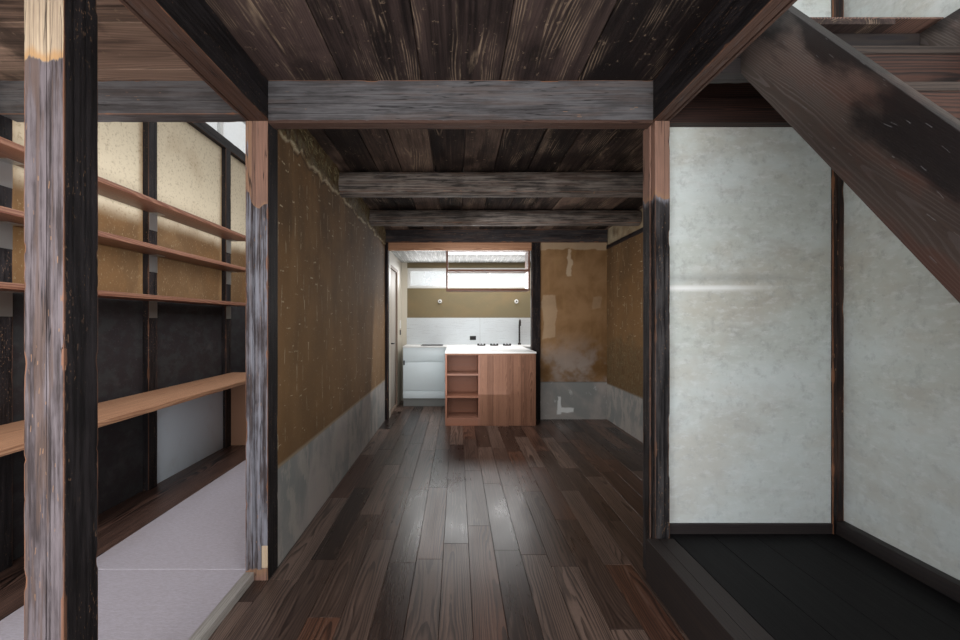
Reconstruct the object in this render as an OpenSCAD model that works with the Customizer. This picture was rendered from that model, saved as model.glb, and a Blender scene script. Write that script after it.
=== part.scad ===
// Ground floor of a timber townhouse: post and beam frame, earth walls,
// boarded upper floor, stair, fitted shelves and kitchen.
// X runs across the house, Y from the open front to the rear, Z up.
// The origin is the middle of the footprint, at the underside of the slab.
// Heights named ..._h or ..._z below are above the hall floor, unless a comment says otherwise.

/* [Plan] */
// Clear width of the left room, plaster to post
left_room_w = 1217; // [1000:10:1800]
// Clear width of the hall between its posts
hall_w = 1841; // [1700:10:2600]
// Clear width of the stair bay, post to plaster
stair_bay_w = 871; // [800:10:1200]
// Front posts to middle posts, face to face
front_bay_d = 2490; // [2400:10:3200]
// Middle posts to kitchen partition, face to face
hall_bay_d = 3320; // [3000:10:4200]
// Kitchen partition face to rear wall
kitchen_bay_d = 1290; // [1200:10:1800]

/* [Levels] */
// Base slab thickness
slab_t = 100; // [60:5:200]
// Floor board thickness
floor_t = 30; // [18:1:45]
// Mats above the hall floor
mat_rise = 35; // [10:1:60]
// Stair bay floor above the hall floor
stair_floor_rise = 200; // [120:5:260]
// Underside of the upper floor boards
ceiling_h = 2393; // [2330:5:2700]
// Upper floor board thickness
deck_t = 27; // [18:1:40]
// Outer walls above the upper floor, where the model is cut
knee_h = 1020; // [700:10:1200]

/* [Walls] */
// Outer wall panel thickness
wall_t = 80; // [60:5:140]
// Outer boarding thickness
cladding_t = 25; // [12:1:40]
// Kitchen side wall thickness
kitchen_wall_t = 60; // [55:5:100]
// Thin panel thickness, stair bay and kitchen partition
panel_t = 65; // [40:5:90]

/* [Posts] */
// Middle post width at the left of the hall
post_w = 110; // [90:5:150]
// Post depth along the house
post_d = 115; // [100:5:150]
// Middle post width at the stair bay
stair_post_w = 81; // [60:1:120]
// Rebate along the right middle post's hall edge, width on its front
rebate_w = 9; // [5:1:20]
// Rebate depth along the house
rebate_d = 38; // [15:1:60]
// Free post, size on each side
free_post_w = 113; // [90:1:130]
// Free post face in front of the middle posts
free_post_gap = 870; // [600:10:1200]
// Free post face left of the middle post face
free_post_inset = 64; // [20:1:120]
// Corner post width in the stair bay
corner_post_w = 56; // [50:1:100]
// Corner post and rear sill behind the middle post face
corner_post_back = 42; // [10:1:60]
// Left wall post width
wall_post_w = 90; // [70:5:120]
// Left wall posts stand proud of the plaster by
wall_post_proud = 40; // [10:1:60]
// Left wall post spacing
wall_post_pitch = 1015; // [900:5:1100]
// Left wall post in front of the middle post face
wall_post_lead = 25; // [0:5:60]
// Kitchen opening post width
kitchen_post_w = 110; // [90:5:130]
// Kitchen opening post depth
kitchen_post_d = 100; // [80:5:120]

/* [Beams] */
// Middle header height
header_h = 206; // [160:2:240]
// Middle header thickness
header_t = 70; // [50:5:110]
// Side beam height
side_beam_h = 196; // [150:2:230]
// Lip outside the track groove under a side beam
track_lip = 14; // [8:1:30]
// Track groove width
track_w = 8; // [5:1:25]
// Track groove depth
track_d = 9; // [4:1:15]
// Left cross beam height
cross_beam_h = 164; // [120:2:200]
// Left cross beam thickness
cross_beam_t = 87; // [60:1:110]
// Kitchen beam height
kitchen_beam_h = 164; // [130:2:200]
// First log joist depth
log_1_h = 187; // [150:1:230]
// Second log joist depth
log_2_h = 163; // [130:1:200]
// First log joist centre behind the middle post face
log_1_y = 1280; // [1000:10:1500]
// Second log joist centre behind the middle post face
log_2_y = 2400; // [2100:10:2700]
// Log joist width as a share of its depth
log_side = 0.94; // [0.85:0.01:1]
// Radius of the round of a log joist as a share of its depth
log_round = 0.56; // [0.52:0.01:0.7]
// Stairwell trimmer height
trimmer_h = 160; // [100:2:200]
// Stairwell trimmer thickness
trimmer_t = 80; // [50:5:120]
// Stair bay rear beam height
stair_beam_h = 203; // [150:1:230]
// Plain board over the stair bay rear beam
stair_board_h = 83; // [40:1:120]
// Plain board set back from the beam face
stair_board_back = 20; // [0:5:50]

/* [Stair] */
// Number of rises from stair floor to upper floor
rises = 10; // [9:1:12]
// Pitch of the stair in degrees
stair_pitch = 52; // [46:1:56]
// Stairwell trimmer face in front of the middle post face
stair_top_gap = 333; // [260:5:500]
// Upper floor edge past the trimmer face
deck_over = 50; // [0:5:80]
// Stringer board width across its slope
stringer_w = 240; // [200:5:280]
// Stringer thickness
stringer_t = 38; // [25:1:50]
// Stringer face from the right middle post
stringer_gap = 116; // [40:1:160]
// Tread thickness
tread_t = 28; // [22:1:40]
// Riser board thickness
riser_t = 14; // [9:1:20]
// Tread front edge past the riser under it
nosing = 3; // [0:1:10]
// Play where a riser meets the treads
riser_play = 0.2; // [0.1:0.1:0.5]
// Depth of the blind housings that the treads' tongues sit in
tongue_l = 14; // [8:1:20]
// Tongue set back from the tread's front and rear edges
tongue_back = 20; // [12:1:30]

/* [Upper light] */
// Wall plate underside
plate_z = 2880; // [2800:5:3000]
// Wall plate height
plate_h = 95; // [70:5:140]
// Glazing bar and frame width
glazing_bar = 45; // [30:1:60]
// Glazing frame thickness
glazing_t = 40; // [25:1:60]
// Top rail over the glazing
top_rail_h = 80; // [50:5:120]
// Glass thickness
glass_t = 6; // [4:1:10]

/* [Left room] */
// Wall shelf tops, lowest first
shelf_z = [1410, 1740, 2040];
// Wall shelf depth
shelf_d = 210; // [150:5:280]
// Wall shelf thickness
shelf_t = 28; // [18:1:40]
// Desk top height
desk_z = 740; // [680:5:780]
// Desk top depth
desk_d = 410; // [350:5:600]
// Desk top thickness
desk_t = 30; // [20:1:45]
// Desk and shelves end at this wall post behind the middle frame
desk_bays = 2; // [1:1:3]
// Desk end panel thickness
desk_end_t = 25; // [15:1:40]
// Panel thickness under the desk
desk_back_t = 12; // [6:1:25]
// Board strip width beside the mats
strip_w = 390; // [200:10:500]
// Threshold width beside the mats
threshold_w = 43; // [30:1:60]
// Threshold top above the mats
threshold_rise = 5; // [0:1:10]
// Mat length
mat_l = 1910; // [1800:10:1950]
// Seam between mats
mat_gap = 2; // [1:1:5]
// First mat seam behind the middle post face
mat_seam = 30; // [0:5:200]
// Bracket plate thickness
bracket_t = 3; // [2:1:5]
// Bracket plate width
bracket_w = 80; // [20:1:90]
// Bracket plate height under its shelf
bracket_h = 120; // [60:5:150]
// Bracket foot length under its shelf
bracket_foot = 60; // [40:5:90]

/* [Stair bay] */
// Step beam width
step_w = 135; // [120:5:180]
// Step beam face inside the right middle post
step_inset = 33; // [20:1:100]
// Bearer width under the stair floor
bearer_w = 60; // [40:5:100]
// Rear sill height over the stair floor
sill_h = 50; // [30:1:80]
// Side sill height over the stair floor
side_sill_h = 65; // [30:1:90]
// Side sill thickness
side_sill_t = 40; // [25:1:60]

/* [Kitchen opening] */
// Opening from the hall's left wall face to the kitchen post
opening_inset = 37; // [0:1:60]
// Kitchen opening right edge, past the right middle post face
opening_past = 2; // [0:1:40]
// Lintel board below the kitchen ceiling
lintel_drop = 20; // [10:1:60]
// Lintel board thickness
lintel_t = 50; // [25:5:80]
// Lintel and panel set back from the beam face
lintel_back = 20; // [0:5:40]
// Kitchen ceiling below the upper floor boards
kitchen_ceiling_drop = 243; // [200:1:280]
// Kitchen ceiling board thickness
kitchen_ceiling_t = 15; // [9:1:25]

/* [Rear window] */
// Window sill height
window_z = 1750; // [1500:10:1800]
// Window height
window_h = 320; // [200:10:360]
// Window left edge from the kitchen's left wall
window_x = 90; // [60:5:200]
// Window width
window_w = 1920; // [1200:10:2000]
// Number of panes
window_panes = 3; // [2:1:4]

/* [Kitchen door] */
// Door leaf width
door_w = 610; // [560:5:650]
// Door leaf height
door_h = 1905; // [1800:5:1950]
// Door leaf thickness
door_t = 35; // [28:1:45]
// Running clearance round the leaf
door_gap = 5; // [5:1:8]
// Door jamb thickness
jamb_t = 30; // [20:1:40]
// Door stop depth into the opening
stop_t = 10; // [8:1:15]
// Door lever height over the hall floor
lever_z = 940; // [850:10:1050]
// Door lever axis from the leaf's edge
lever_inset = 60; // [45:1:80]
// Door lever length
lever_l = 110; // [90:5:140]
// Door lever radius
lever_r = 8; // [6:0.5:10]
// Door lever distance from the leaf
lever_out = 45; // [35:1:60]
// Lever rose radius
rose_r = 22; // [18:1:30]
// Lever rose thickness
rose_t = 6; // [4:1:10]
// Door opening behind the kitchen posts
door_y = 100; // [80:5:140]
// Hinge barrel radius
hinge_r = 7; // [5:0.5:9]
// Hinge barrel length, half for the frame and half for the leaf
hinge_l = 80; // [60:5:120]
// Hinge from the top and bottom of the leaf
hinge_inset = 200; // [120:10:300]
// Hinge flap thickness
hinge_flap_t = 4; // [2:0.5:5]
// Hinge flap width on the leaf
hinge_flap_w = 30; // [20:1:45]
// Play between the two halves of a hinge
hinge_play = 0.3; // [0.2:0.1:0.5]

/* [Kitchen] */
// Worktop height
worktop_z = 876; // [800:5:950]
// Worktop thickness
worktop_t = 20; // [12:1:40]
// Rear run depth
run_d = 490; // [450:10:650]
// Rear run left end from the kitchen's left wall
run_x = 86; // [0:1:120]
// Wood unit front in front of the partition
unit_out = 310; // [200:10:400]
// Wood unit depth
unit_d = 350; // [300:10:400]
// Wood unit width
unit_w = 1074; // [900:10:1300]
// Open shelf part width
open_w = 414; // [350:5:500]
// Clearance between the wood unit and the kitchen post
unit_gap = 6; // [3:1:20]
// Unit board thickness
board_t = 22; // [16:1:30]
// Unit shelf tops, lowest first
unit_shelf_z = [90, 350, 615];
// Cabinet panel thickness
cabinet_t = 18; // [15:1:25]
// Width of the bay with drawers at the rear run's left end
drawer_w = 600; // [450:10:640]
// Joints between the drawer fronts, lowest first
drawer_z = [230, 648];
// Gap round each cabinet front
front_gap = 3; // [2:0.5:5]
// Toe space height
toe_h = 120; // [80:5:150]
// Toe space depth
toe_d = 50; // [30:5:80]
// Joint between the rear run and the side cabinet
cabinet_gap = 2; // [1:1:5]
// Worktop overhang at its long edges
worktop_over = 10; // [0:1:30]
// Worktop overhang at the unit's ends
worktop_end = 4; // [0:1:6]
// Hanging shelf underside
hang_z = 1630; // [1500:10:1700]
// Hanging shelf depth
hang_d = 260; // [200:10:320]
// Hanging shelf board thickness
hang_t = 22; // [15:1:30]
// Splash plate height over the worktop
splash_h = 414; // [300:2:500]
// Splash plate thickness
splash_t = 4; // [3:1:12]
// Cooking plate width
plate_w = 320; // [280:10:600]
// Cooking plate depth
plate_d = 340; // [280:10:420]
// Cooking plate thickness
plate_t = 6; // [4:1:12]
// Cooking plate from the left end of the rear run
plate_x = 250; // [100:10:300]
// Cooking plate behind the rear run's front
plate_y = 60; // [40:5:120]
// Number of burners
burners = 3; // [1:1:3]
// Burner radius
burner_r = 60; // [40:1:80]
// Burner spacing
burner_pitch = 190; // [160:5:240]
// First burner from the wood unit's left end
burner_x = 500; // [400:10:560]
// Burners behind the rear run's front
burner_y = 150; // [100:5:250]
// Burner cap height
burner_h = 16; // [10:1:30]
// Pan support height
support_h = 30; // [20:1:45]
// Pan support bar thickness
support_t = 8; // [5:1:12]
// Tap height over the worktop
tap_h = 380; // [200:5:420]
// Tap pipe radius
tap_r = 11; // [8:0.5:16]
// Tap spout reach
tap_reach = 90; // [60:5:220]
// Tap from the right end of the wood unit
tap_x = 26; // [0:1:200]
// Tap in front of the rear wall
tap_y = 90; // [60:5:150]
// Tap foot radius
tap_foot_r = 24; // [16:1:30]
// Tap foot height
tap_foot_h = 30; // [10:1:60]
// Socket plate width
socket_w = 96; // [70:1:120]
// Socket plate height
socket_h = 62; // [60:1:120]
// Socket plate thickness
socket_t = 8; // [5:1:15]
// Socket plate from the wood unit's left end
socket_x = 340; // [200:5:500]
// Socket plate foot over the worktop
socket_z = 69; // [40:1:200]
// Wall lamp radius
lamp_r = 32; // [20:1:60]
// Wall lamp front radius as a share of its foot's
lamp_taper = 0.8; // [0.5:0.05:1]
// Wall lamp depth
lamp_d = 40; // [20:1:80]
// Wall lamp height
lamp_z = 1545; // [1400:5:1700]
// Left wall lamp from the rear run's left end
lamp_x = 514; // [300:1:600]
// Right wall lamp from the left one
lamp_pitch = 1190; // [900:5:1300]

/* [Hidden] */
$fn = 48;
// How far a cut runs past the face that it opens
over = 1;

// Overall size
total_w = left_room_w + post_w + hall_w + stair_post_w + stair_bay_w + 2 * (wall_t + cladding_t);
rear_t = wall_t + cladding_t;
total_d = front_bay_d + hall_bay_d + kitchen_bay_d + rear_t;

// Stations across the house
x_out_l = -total_w / 2;
x_wall_l = x_out_l + cladding_t;
x_left = x_wall_l + wall_t;
x_post_face = x_left + wall_post_proud;
x_ml0 = x_left + left_room_w;
x_ml1 = x_ml0 + post_w;
x_mr0 = x_ml1 + hall_w;
x_mr1 = x_mr0 + stair_post_w;
x_right = x_mr1 + stair_bay_w;
x_wall_r = x_right + wall_t;
x_out_r = total_w / 2;
x_corner = x_right - corner_post_w;
x_step0 = x_mr0 - step_inset;
x_step1 = x_step0 + step_w;
x_strip = x_left + strip_w;
x_open0 = x_ml1 + opening_inset;
x_open1 = x_mr0 + opening_past;
x_kp0 = x_open0 - kitchen_post_w;
x_kp1 = x_open1 + kitchen_post_w;
x_kwall = x_open0 - kitchen_wall_t;

// Stations along the house
y_front = -total_d / 2;
y_in = y_front + post_d;
y_mid = y_front + front_bay_d;
y_mid1 = y_mid + post_d;
y_part = y_mid + hall_bay_d;
y_part1 = y_part + kitchen_post_d;
y_rear = y_part + kitchen_bay_d;
y_out = total_d / 2;
y_panel = y_mid1 - panel_t;
y_sill = y_mid + corner_post_back;
y_stair_top = y_mid - stair_top_gap;
y_deck_edge = y_stair_top - deck_over;

// Levels from the underside of the slab
z_floor = slab_t + floor_t;
z_mat = z_floor + mat_rise;
z_stair_floor = z_floor + stair_floor_rise;
z_deck = z_floor + ceiling_h;
z_deck1 = z_deck + deck_t;
z_cut = z_deck1 + knee_h;
z_beam = z_deck - side_beam_h;
z_plate = z_floor + plate_z;
z_plate1 = z_plate + plate_h;
z_kbeam = z_deck - kitchen_beam_h;
z_kceiling = z_deck - kitchen_ceiling_drop;
z_sbeam = z_deck - stair_beam_h;

// Left wall posts: half a bay apart, counted from the middle frame
wall_post_y0 = y_mid - wall_post_lead;
wall_posts_before = floor((wall_post_y0 - y_in) / wall_post_pitch);
wall_posts_after = floor((y_rear - wall_post_w - wall_post_y0) / wall_post_pitch);
wall_post_ys = concat(
    [y_front],
    [for (k = [-wall_posts_before : wall_posts_after]) wall_post_y0 + k * wall_post_pitch]
);

// Stair: rise, going and the slope of its boards
rise = (z_deck1 - z_stair_floor) / rises;
going = rise / tan(stair_pitch);
x_str0 = x_mr1 + stringer_gap;
x_str1 = x_right - stringer_t;
stringer_rise = stringer_w / cos(stair_pitch);
tread_d = going + nosing;
soffit_drop = tread_t + tread_d * tan(stair_pitch);

// Kitchen
x_unit1 = x_open1 - unit_gap;
x_unit0 = x_unit1 - unit_w;
y_unit = y_part - unit_out;
x_run = x_open0 + run_x;
y_run = y_rear - run_d;
z_worktop = z_floor + worktop_z;
z_cabinet = z_worktop - worktop_t;
x_win0 = x_open0 + window_x;
x_win1 = x_win0 + window_w;
z_win0 = z_floor + window_z;
z_win1 = z_win0 + window_h;

// Door: opening, leaf and hinge axis
y_door0 = y_part1 + door_y;
y_leaf0 = y_door0 + jamb_t + door_gap;
y_leaf1 = y_leaf0 + door_w;
y_door1 = y_leaf1 + door_gap + jamb_t;
z_leaf0 = z_mat + door_gap;
z_leaf1 = z_leaf0 + door_h;
z_door1 = z_leaf1 + door_gap + jamb_t;
x_hinge = x_kwall - hinge_r;
y_hinge = y_leaf1 + door_gap / 2;
hinge_zs = [z_leaf0 + hinge_inset, z_leaf1 - hinge_inset - hinge_l];

// A block between two values on each axis
module block(x, y, z)
    translate([x[0], y[0], z[0]])
        cube([x[1] - x[0], y[1] - y[0], z[1] - z[0]]);

// A plan outline raised between two levels
module plate(points, z)
    translate([0, 0, z[0]])
        linear_extrude(z[1] - z[0])
            polygon(points);

// An outline drawn in depth and height, raised along X
module across(points, x)
    translate([x[0], 0, 0])
        rotate([90, 0, 90])
            linear_extrude(x[1] - x[0])
                polygon(points);

// Floors

module base_slab()
    color("dimgray")
        block([x_out_l, x_out_r], [y_front, y_out], [0, slab_t]);

module hall_floor()
    color("saddlebrown")
        plate([
            [x_ml0 + threshold_w, y_in], [x_step0, y_in], [x_step0, y_mid], [x_mr0, y_mid],
            [x_mr0, y_mid1], [x_right, y_mid1], [x_right, y_rear], [x_kwall, y_rear],
            [x_kwall, y_part1], [x_kp0, y_part1], [x_kp0, y_part], [x_ml1, y_part],
            [x_ml1, y_mid], [x_ml0 + threshold_w, y_mid]
        ], [slab_t, z_floor]);

mat_y0 = y_mid + mat_seam;
mats_before = ceil((mat_y0 - y_in) / mat_l);
mats_after = ceil((y_rear - mat_y0) / mat_l);

module mats()
    color("tan")
        difference() {
            for (k = [-mats_before : mats_after - 1])
                block([x_strip, x_ml0],
                      [max(mat_y0 + k * mat_l + mat_gap / 2, y_in),
                       min(mat_y0 + (k + 1) * mat_l - mat_gap / 2, y_rear)],
                      [slab_t, z_mat]);
            free_post_shape();
        }

// Boards along the left wall, and the edging between the mats and the kitchen wall
module left_floor_strip()
    color("saddlebrown") {
        difference() {
            block([x_left, x_strip], [y_in, y_rear], [slab_t, z_mat]);
            wall_post_shapes();
        }
        plate([
            [x_ml0, y_part], [x_kp0, y_part], [x_kp0, y_part1], [x_kwall, y_part1],
            [x_kwall, y_rear], [x_ml0, y_rear]
        ], [slab_t, z_mat]);
    }

module left_threshold()
    color("wheat")
        block([x_ml0, x_ml0 + threshold_w], [y_in, y_mid], [slab_t, z_mat + threshold_rise]);

module front_sills()
    color("sienna") {
        block([x_post_face, x_ml0], [y_front, y_in], [slab_t, z_mat]);
        block([x_ml1, x_mr0], [y_front, y_in], [slab_t, z_floor]);
        block([x_mr1, x_corner], [y_front, y_in], [slab_t, z_stair_floor]);
    }

module stair_floor()
    color("darkslategray") {
        plate([
            [x_step1, y_in], [x_right, y_in], [x_right, y_sill], [x_mr1, y_sill], [x_mr1, y_mid],
            [x_step1, y_mid]
        ], [z_stair_floor - floor_t, z_stair_floor]);
        for (y = [y_in, (y_in + y_mid) / 2, y_sill - bearer_w])
            block([x_step1, x_right], [y, y + bearer_w], [slab_t, z_stair_floor - floor_t]);
    }

module floor_step()
    color("dimgray")
        block([x_step0, x_step1], [y_in, y_mid], [slab_t, z_stair_floor]);

module stair_bay_sills()
    color("dimgray") {
        block([x_mr1, x_corner], [y_sill, y_mid1], [slab_t, z_stair_floor + sill_h]);
        block([x_right - side_sill_t, x_right],
              [soffit_y(z_stair_floor + side_sill_h), y_sill],
              [z_stair_floor, z_stair_floor + side_sill_h]);
    }

// Posts

module front_posts()
    color("dimgray") {
        block([x_ml0, x_ml1], [y_front, y_in], [slab_t, z_beam]);
        block([x_mr0, x_mr1], [y_front, y_in], [slab_t, z_beam]);
        block([x_corner, x_right], [y_front, y_in], [slab_t, z_beam]);
    }

module left_middle_post()
    color("dimgray")
        block([x_ml0, x_ml1], [y_mid, y_mid1], [slab_t, z_beam]);

module right_middle_post()
    color("sienna")
        plate([
            [x_mr0 + rebate_w, y_mid], [x_mr1, y_mid], [x_mr1, y_mid1], [x_mr0, y_mid1],
            [x_mr0, y_mid + rebate_d], [x_mr0 + rebate_w, y_mid + rebate_d]
        ], [slab_t, z_beam]);

x_free = x_ml0 - free_post_inset;
y_free = y_mid - free_post_gap;

module free_post_shape()
    block([x_free - free_post_w, x_free], [y_free, y_free + free_post_w], [slab_t, z_deck]);

module free_post()
    color("gray") free_post_shape();

module corner_post_shape()
    block([x_corner, x_right], [y_sill, y_mid1], [slab_t, z_cut]);

module corner_post()
    color("black") corner_post_shape();

module wall_post_shapes()
    for (y = wall_post_ys)
        block([x_wall_l, x_post_face], [y, y + wall_post_w], [slab_t, z_plate]);

module left_wall_posts()
    color("black") wall_post_shapes();

module kitchen_posts()
    color("dimgray") {
        block([x_kp0, x_open0], [y_part, y_part1], [z_floor, z_kbeam]);
        block([x_open1, x_kp1], [y_part, y_part1], [z_floor, z_kbeam]);
    }

// Beams

module middle_header()
    color("dimgray")
        block([x_ml1, x_mr0], [y_mid, y_mid + header_t], [z_deck - header_h, z_deck]);

// A beam with a track groove for screens along its underside, from the front to the middle post
module side_beam(x, x_track)
    difference() {
        block(x, [y_in, y_mid1], [z_beam, z_deck]);
        block([x_track, x_track + track_w], [y_in - over, y_mid],
              [z_beam - over, z_beam + track_d]);
    }

module side_beams()
    color("sienna") {
        side_beam([x_ml0, x_ml1], x_ml0 + track_lip);
        side_beam([x_mr0, x_mr1], x_mr1 - track_lip - track_w);
    }

module front_beam()
    color("sienna")
        block([x_post_face, x_right], [y_front, y_in], [z_beam, z_deck]);

module left_cross_beam()
    color("dimgray")
        block([x_post_face, x_ml0], [y_mid, y_mid + cross_beam_t], [z_deck - cross_beam_h, z_deck]);

// A hewn log, flat on top and round below
module log_joist(y, h)
    translate([x_ml1, y, z_deck - h / 2])
        rotate([90, 0, 90])
            linear_extrude(x_right - x_ml1)
                intersection() {
                    circle(r = h * log_round);
                    square([h * log_side, h], center = true);
                }

module log_joists()
    color("dimgray") {
        log_joist(y_mid + log_1_y, log_1_h);
        log_joist(y_mid + log_2_y, log_2_h);
    }

module kitchen_beam()
    color("dimgray")
        block([x_kp0, x_right], [y_part, y_part1], [z_kbeam, z_deck]);

module stairwell_trimmer()
    color("sienna")
        block([x_mr1, x_right], [y_stair_top, y_stair_top + trimmer_t],
              [z_deck - trimmer_h, z_deck]);

// The rear beam of the stair bay, with a board set back over it, notched round the corner post
module stair_bay_beam()
    color("sienna")
        difference() {
            across([
                [y_mid, z_sbeam], [y_mid1, z_sbeam], [y_mid1, z_deck],
                [y_mid + stair_board_back, z_deck],
                [y_mid + stair_board_back, z_deck - stair_board_h],
                [y_mid, z_deck - stair_board_h]
            ], [x_mr1, x_right]);
            corner_post_shape();
        }

// Upper floor boards, open over the stair and over the tall left room
module upper_floor()
    color("brown")
        difference() {
            plate([
                [x_left, y_front], [x_mr1, y_front], [x_mr1, y_deck_edge], [x_right, y_deck_edge],
                [x_right, y_rear], [x_ml0, y_rear],
                [x_ml0, y_mid + cross_beam_t],
                [x_left, y_mid + cross_beam_t]
            ], [z_deck, z_deck1]);
            wall_post_shapes();
            corner_post_shape();
        }

// Walls

module left_wall_panels()
    color("burlywood")
        for (i = [0 : len(wall_post_ys) - 1])
            block([x_wall_l, x_left],
                  [wall_post_ys[i] + wall_post_w,
                   i < len(wall_post_ys) - 1 ? wall_post_ys[i + 1] : y_rear],
                  [slab_t, z_plate]);

module left_wall_plate()
    color("black")
        block([x_wall_l, x_post_face], [y_front, y_rear], [z_plate, z_plate1]);

x_glazing = x_wall_l + (wall_t - glazing_t) / 2;
x_glass = x_glazing + (glazing_t - glass_t) / 2;
z_glass0 = z_plate1 + glazing_bar;
z_glass1 = z_cut - top_rail_h;
pane_ys = concat(
    [for (y = wall_post_ys) y + (wall_post_w - glazing_bar) / 2],
    [y_rear - glazing_bar]
);

module clerestory_frame()
    color("whitesmoke")
        difference() {
            block([x_glazing, x_glazing + glazing_t], [y_front, y_rear], [z_plate1, z_cut]);
            for (i = [0 : len(pane_ys) - 2])
                block([x_wall_l, x_left], [pane_ys[i] + glazing_bar, pane_ys[i + 1]],
                      [z_glass0, z_glass1]);
        }

y_window = y_rear + (rear_t - glazing_t) / 2;
window_pitch = (window_w - glazing_bar) / window_panes;

module window_glass()
    color([0.7, 0.85, 0.9, 0.4]) {
        for (i = [0 : len(pane_ys) - 2])
            block([x_glass, x_glass + glass_t], [pane_ys[i] + glazing_bar, pane_ys[i + 1]],
                  [z_glass0, z_glass1]);
        for (i = [0 : window_panes - 1])
            block([x_win0 + i * window_pitch + glazing_bar, x_win0 + (i + 1) * window_pitch],
                  [y_window + (glazing_t - glass_t) / 2, y_window + (glazing_t + glass_t) / 2],
                  [z_win0 + glazing_bar, z_win1 - glazing_bar]);
    }

module party_boarding()
    color("dimgray") {
        block([x_out_l, x_wall_l], [y_front, y_out], [slab_t, z_plate1]);
        block([x_wall_r, x_out_r], [y_front, y_out], [slab_t, z_cut]);
    }

module right_wall_front()
    color("gainsboro")
        block([x_right, x_wall_r], [y_front, y_mid1], [slab_t, z_cut]);

module right_wall_rear()
    color("peru")
        block([x_right, x_wall_r], [y_mid1, y_rear], [slab_t, z_cut]);

module hall_left_wall()
    color("peru")
        block([x_ml0, x_ml1], [y_mid1, y_part], [slab_t, z_deck]);

module stair_bay_wall()
    color("gainsboro") {
        block([x_mr1, x_corner], [y_panel, y_mid1], [z_stair_floor + sill_h, z_sbeam]);
        block([x_mr1, x_corner], [y_panel, y_mid1], [z_deck1, z_cut]);
    }

module kitchen_side_panel()
    color("peru")
        block([x_kp1, x_right], [y_part + lintel_back, y_part1], [z_floor, z_kbeam]);

module kitchen_lintel()
    color("burlywood")
        block([x_open0, x_open1], [y_part + lintel_back, y_part + lintel_back + lintel_t],
              [z_kceiling - lintel_drop, z_kbeam]);

module kitchen_left_wall()
    color("beige")
        difference() {
            block([x_kwall, x_open0], [y_part1, y_rear], [z_floor, z_deck]);
            block([x_kwall - over, x_open0 + over], [y_door0, y_door1], [z_floor - over, z_door1]);
        }

module kitchen_ceiling()
    color("whitesmoke")
        block([x_open0, x_right], [y_part1, y_rear],
              [z_kceiling, z_kceiling + kitchen_ceiling_t]);

module rear_wall_ends()
    color("burlywood") {
        block([x_wall_l, x_win0], [y_rear, y_out], [slab_t, z_cut]);
        block([x_win1, x_wall_r], [y_rear, y_out], [slab_t, z_cut]);
    }

module rear_wall_middle()
    color("burlywood") {
        block([x_win0, x_win1], [y_rear, y_out], [slab_t, z_win0]);
        block([x_win0, x_win1], [y_rear, y_out], [z_win1, z_cut]);
    }

module rear_window_frame()
    color("whitesmoke")
        difference() {
            block([x_win0, x_win1], [y_window, y_window + glazing_t], [z_win0, z_win1]);
            for (i = [0 : window_panes - 1])
                block([x_win0 + i * window_pitch + glazing_bar, x_win0 + (i + 1) * window_pitch],
                      [y_rear, y_out], [z_win0 + glazing_bar, z_win1 - glazing_bar]);
        }

// Kitchen door

module door_frame()
    color("beige") {
        difference() {
            block([x_kwall, x_open0], [y_door0, y_door1], [z_floor, z_door1]);
            block([x_kwall - over, x_kwall + door_t + door_gap],
                  [y_leaf0 - door_gap, y_leaf1 + door_gap], [z_mat, z_leaf1 + door_gap]);
            block([x_kwall - over, x_open0 + over],
                  [y_leaf0 - door_gap + stop_t, y_leaf1 + door_gap - stop_t],
                  [z_mat, z_leaf1 + door_gap - stop_t]);
        }
        for (z = hinge_zs)
            hinge_half(z, y_hinge, y_door1);
    }

// Half a hinge: a barrel on the axis and its flap
module hinge_half(z, y0, y1) {
    translate([x_hinge, y_hinge, z])
        cylinder(r = hinge_r, h = (hinge_l - hinge_play) / 2);
    block([x_kwall - hinge_flap_t, x_kwall], [y0, y1], [z, z + (hinge_l - hinge_play) / 2]);
}

module door_leaf()
    color("gray") {
        block([x_kwall, x_kwall + door_t], [y_leaf0, y_leaf1], [z_leaf0, z_leaf1]);
        for (z = hinge_zs)
            hinge_half(z + (hinge_l + hinge_play) / 2, y_leaf1 - hinge_flap_w, y_hinge);
    }

// A lever on each face of the leaf
module door_handle()
    color("black")
        for (side = [0, 1])
            mirror([side, 0, 0])
                translate([side ? -x_kwall : x_kwall + door_t, y_leaf0 + lever_inset,
                           z_floor + lever_z])
                    rotate([0, 90, 0]) {
                        cylinder(r = rose_r, h = rose_t);
                        cylinder(r = lever_r, h = lever_out + lever_r);
                        translate([0, 0, lever_out])
                            rotate([-90, 0, 0])
                                cylinder(r = lever_r, h = lever_l);
                    }

// Stair

// Where the stringers' underside and upper edge reach a height, and the underside's height
function soffit_y(z) = y_deck_edge + (z - z_deck1 + soffit_drop) / tan(stair_pitch);
function edge_y(z) = soffit_y(z - stringer_rise);
function soffit_z(y) = z_deck1 - soffit_drop + (y - y_deck_edge) * tan(stair_pitch);

// A sloping board, plumb at the top and level at foot and head
module stringer(x)
    across([
        [y_stair_top, soffit_z(y_stair_top)], [y_stair_top, z_deck], [edge_y(z_deck), z_deck],
        [edge_y(z_stair_floor), z_stair_floor], [soffit_y(z_stair_floor), z_stair_floor]
    ], [x, x + stringer_t]);

// What a tread has between two values across the stair, set back from its edges
module tread(k, x, back)
    block(x,
          [y_deck_edge - k * going + back, y_deck_edge - k * going + tread_d - back],
          [z_deck1 - k * rise - tread_t, z_deck1 - k * rise]);

// The tongues of a tread run through from one stringer's housing to the other's
module tread_tongues(k)
    tread(k, [x_str0 + stringer_t - tongue_l, x_str1 + tongue_l], tongue_back);

module stair_stringers()
    color("dimgray")
        difference() {
            union() {
                stringer(x_str0);
                stringer(x_str1);
            }
            for (k = [1 : rises - 1])
                tread_tongues(k);
        }

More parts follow.
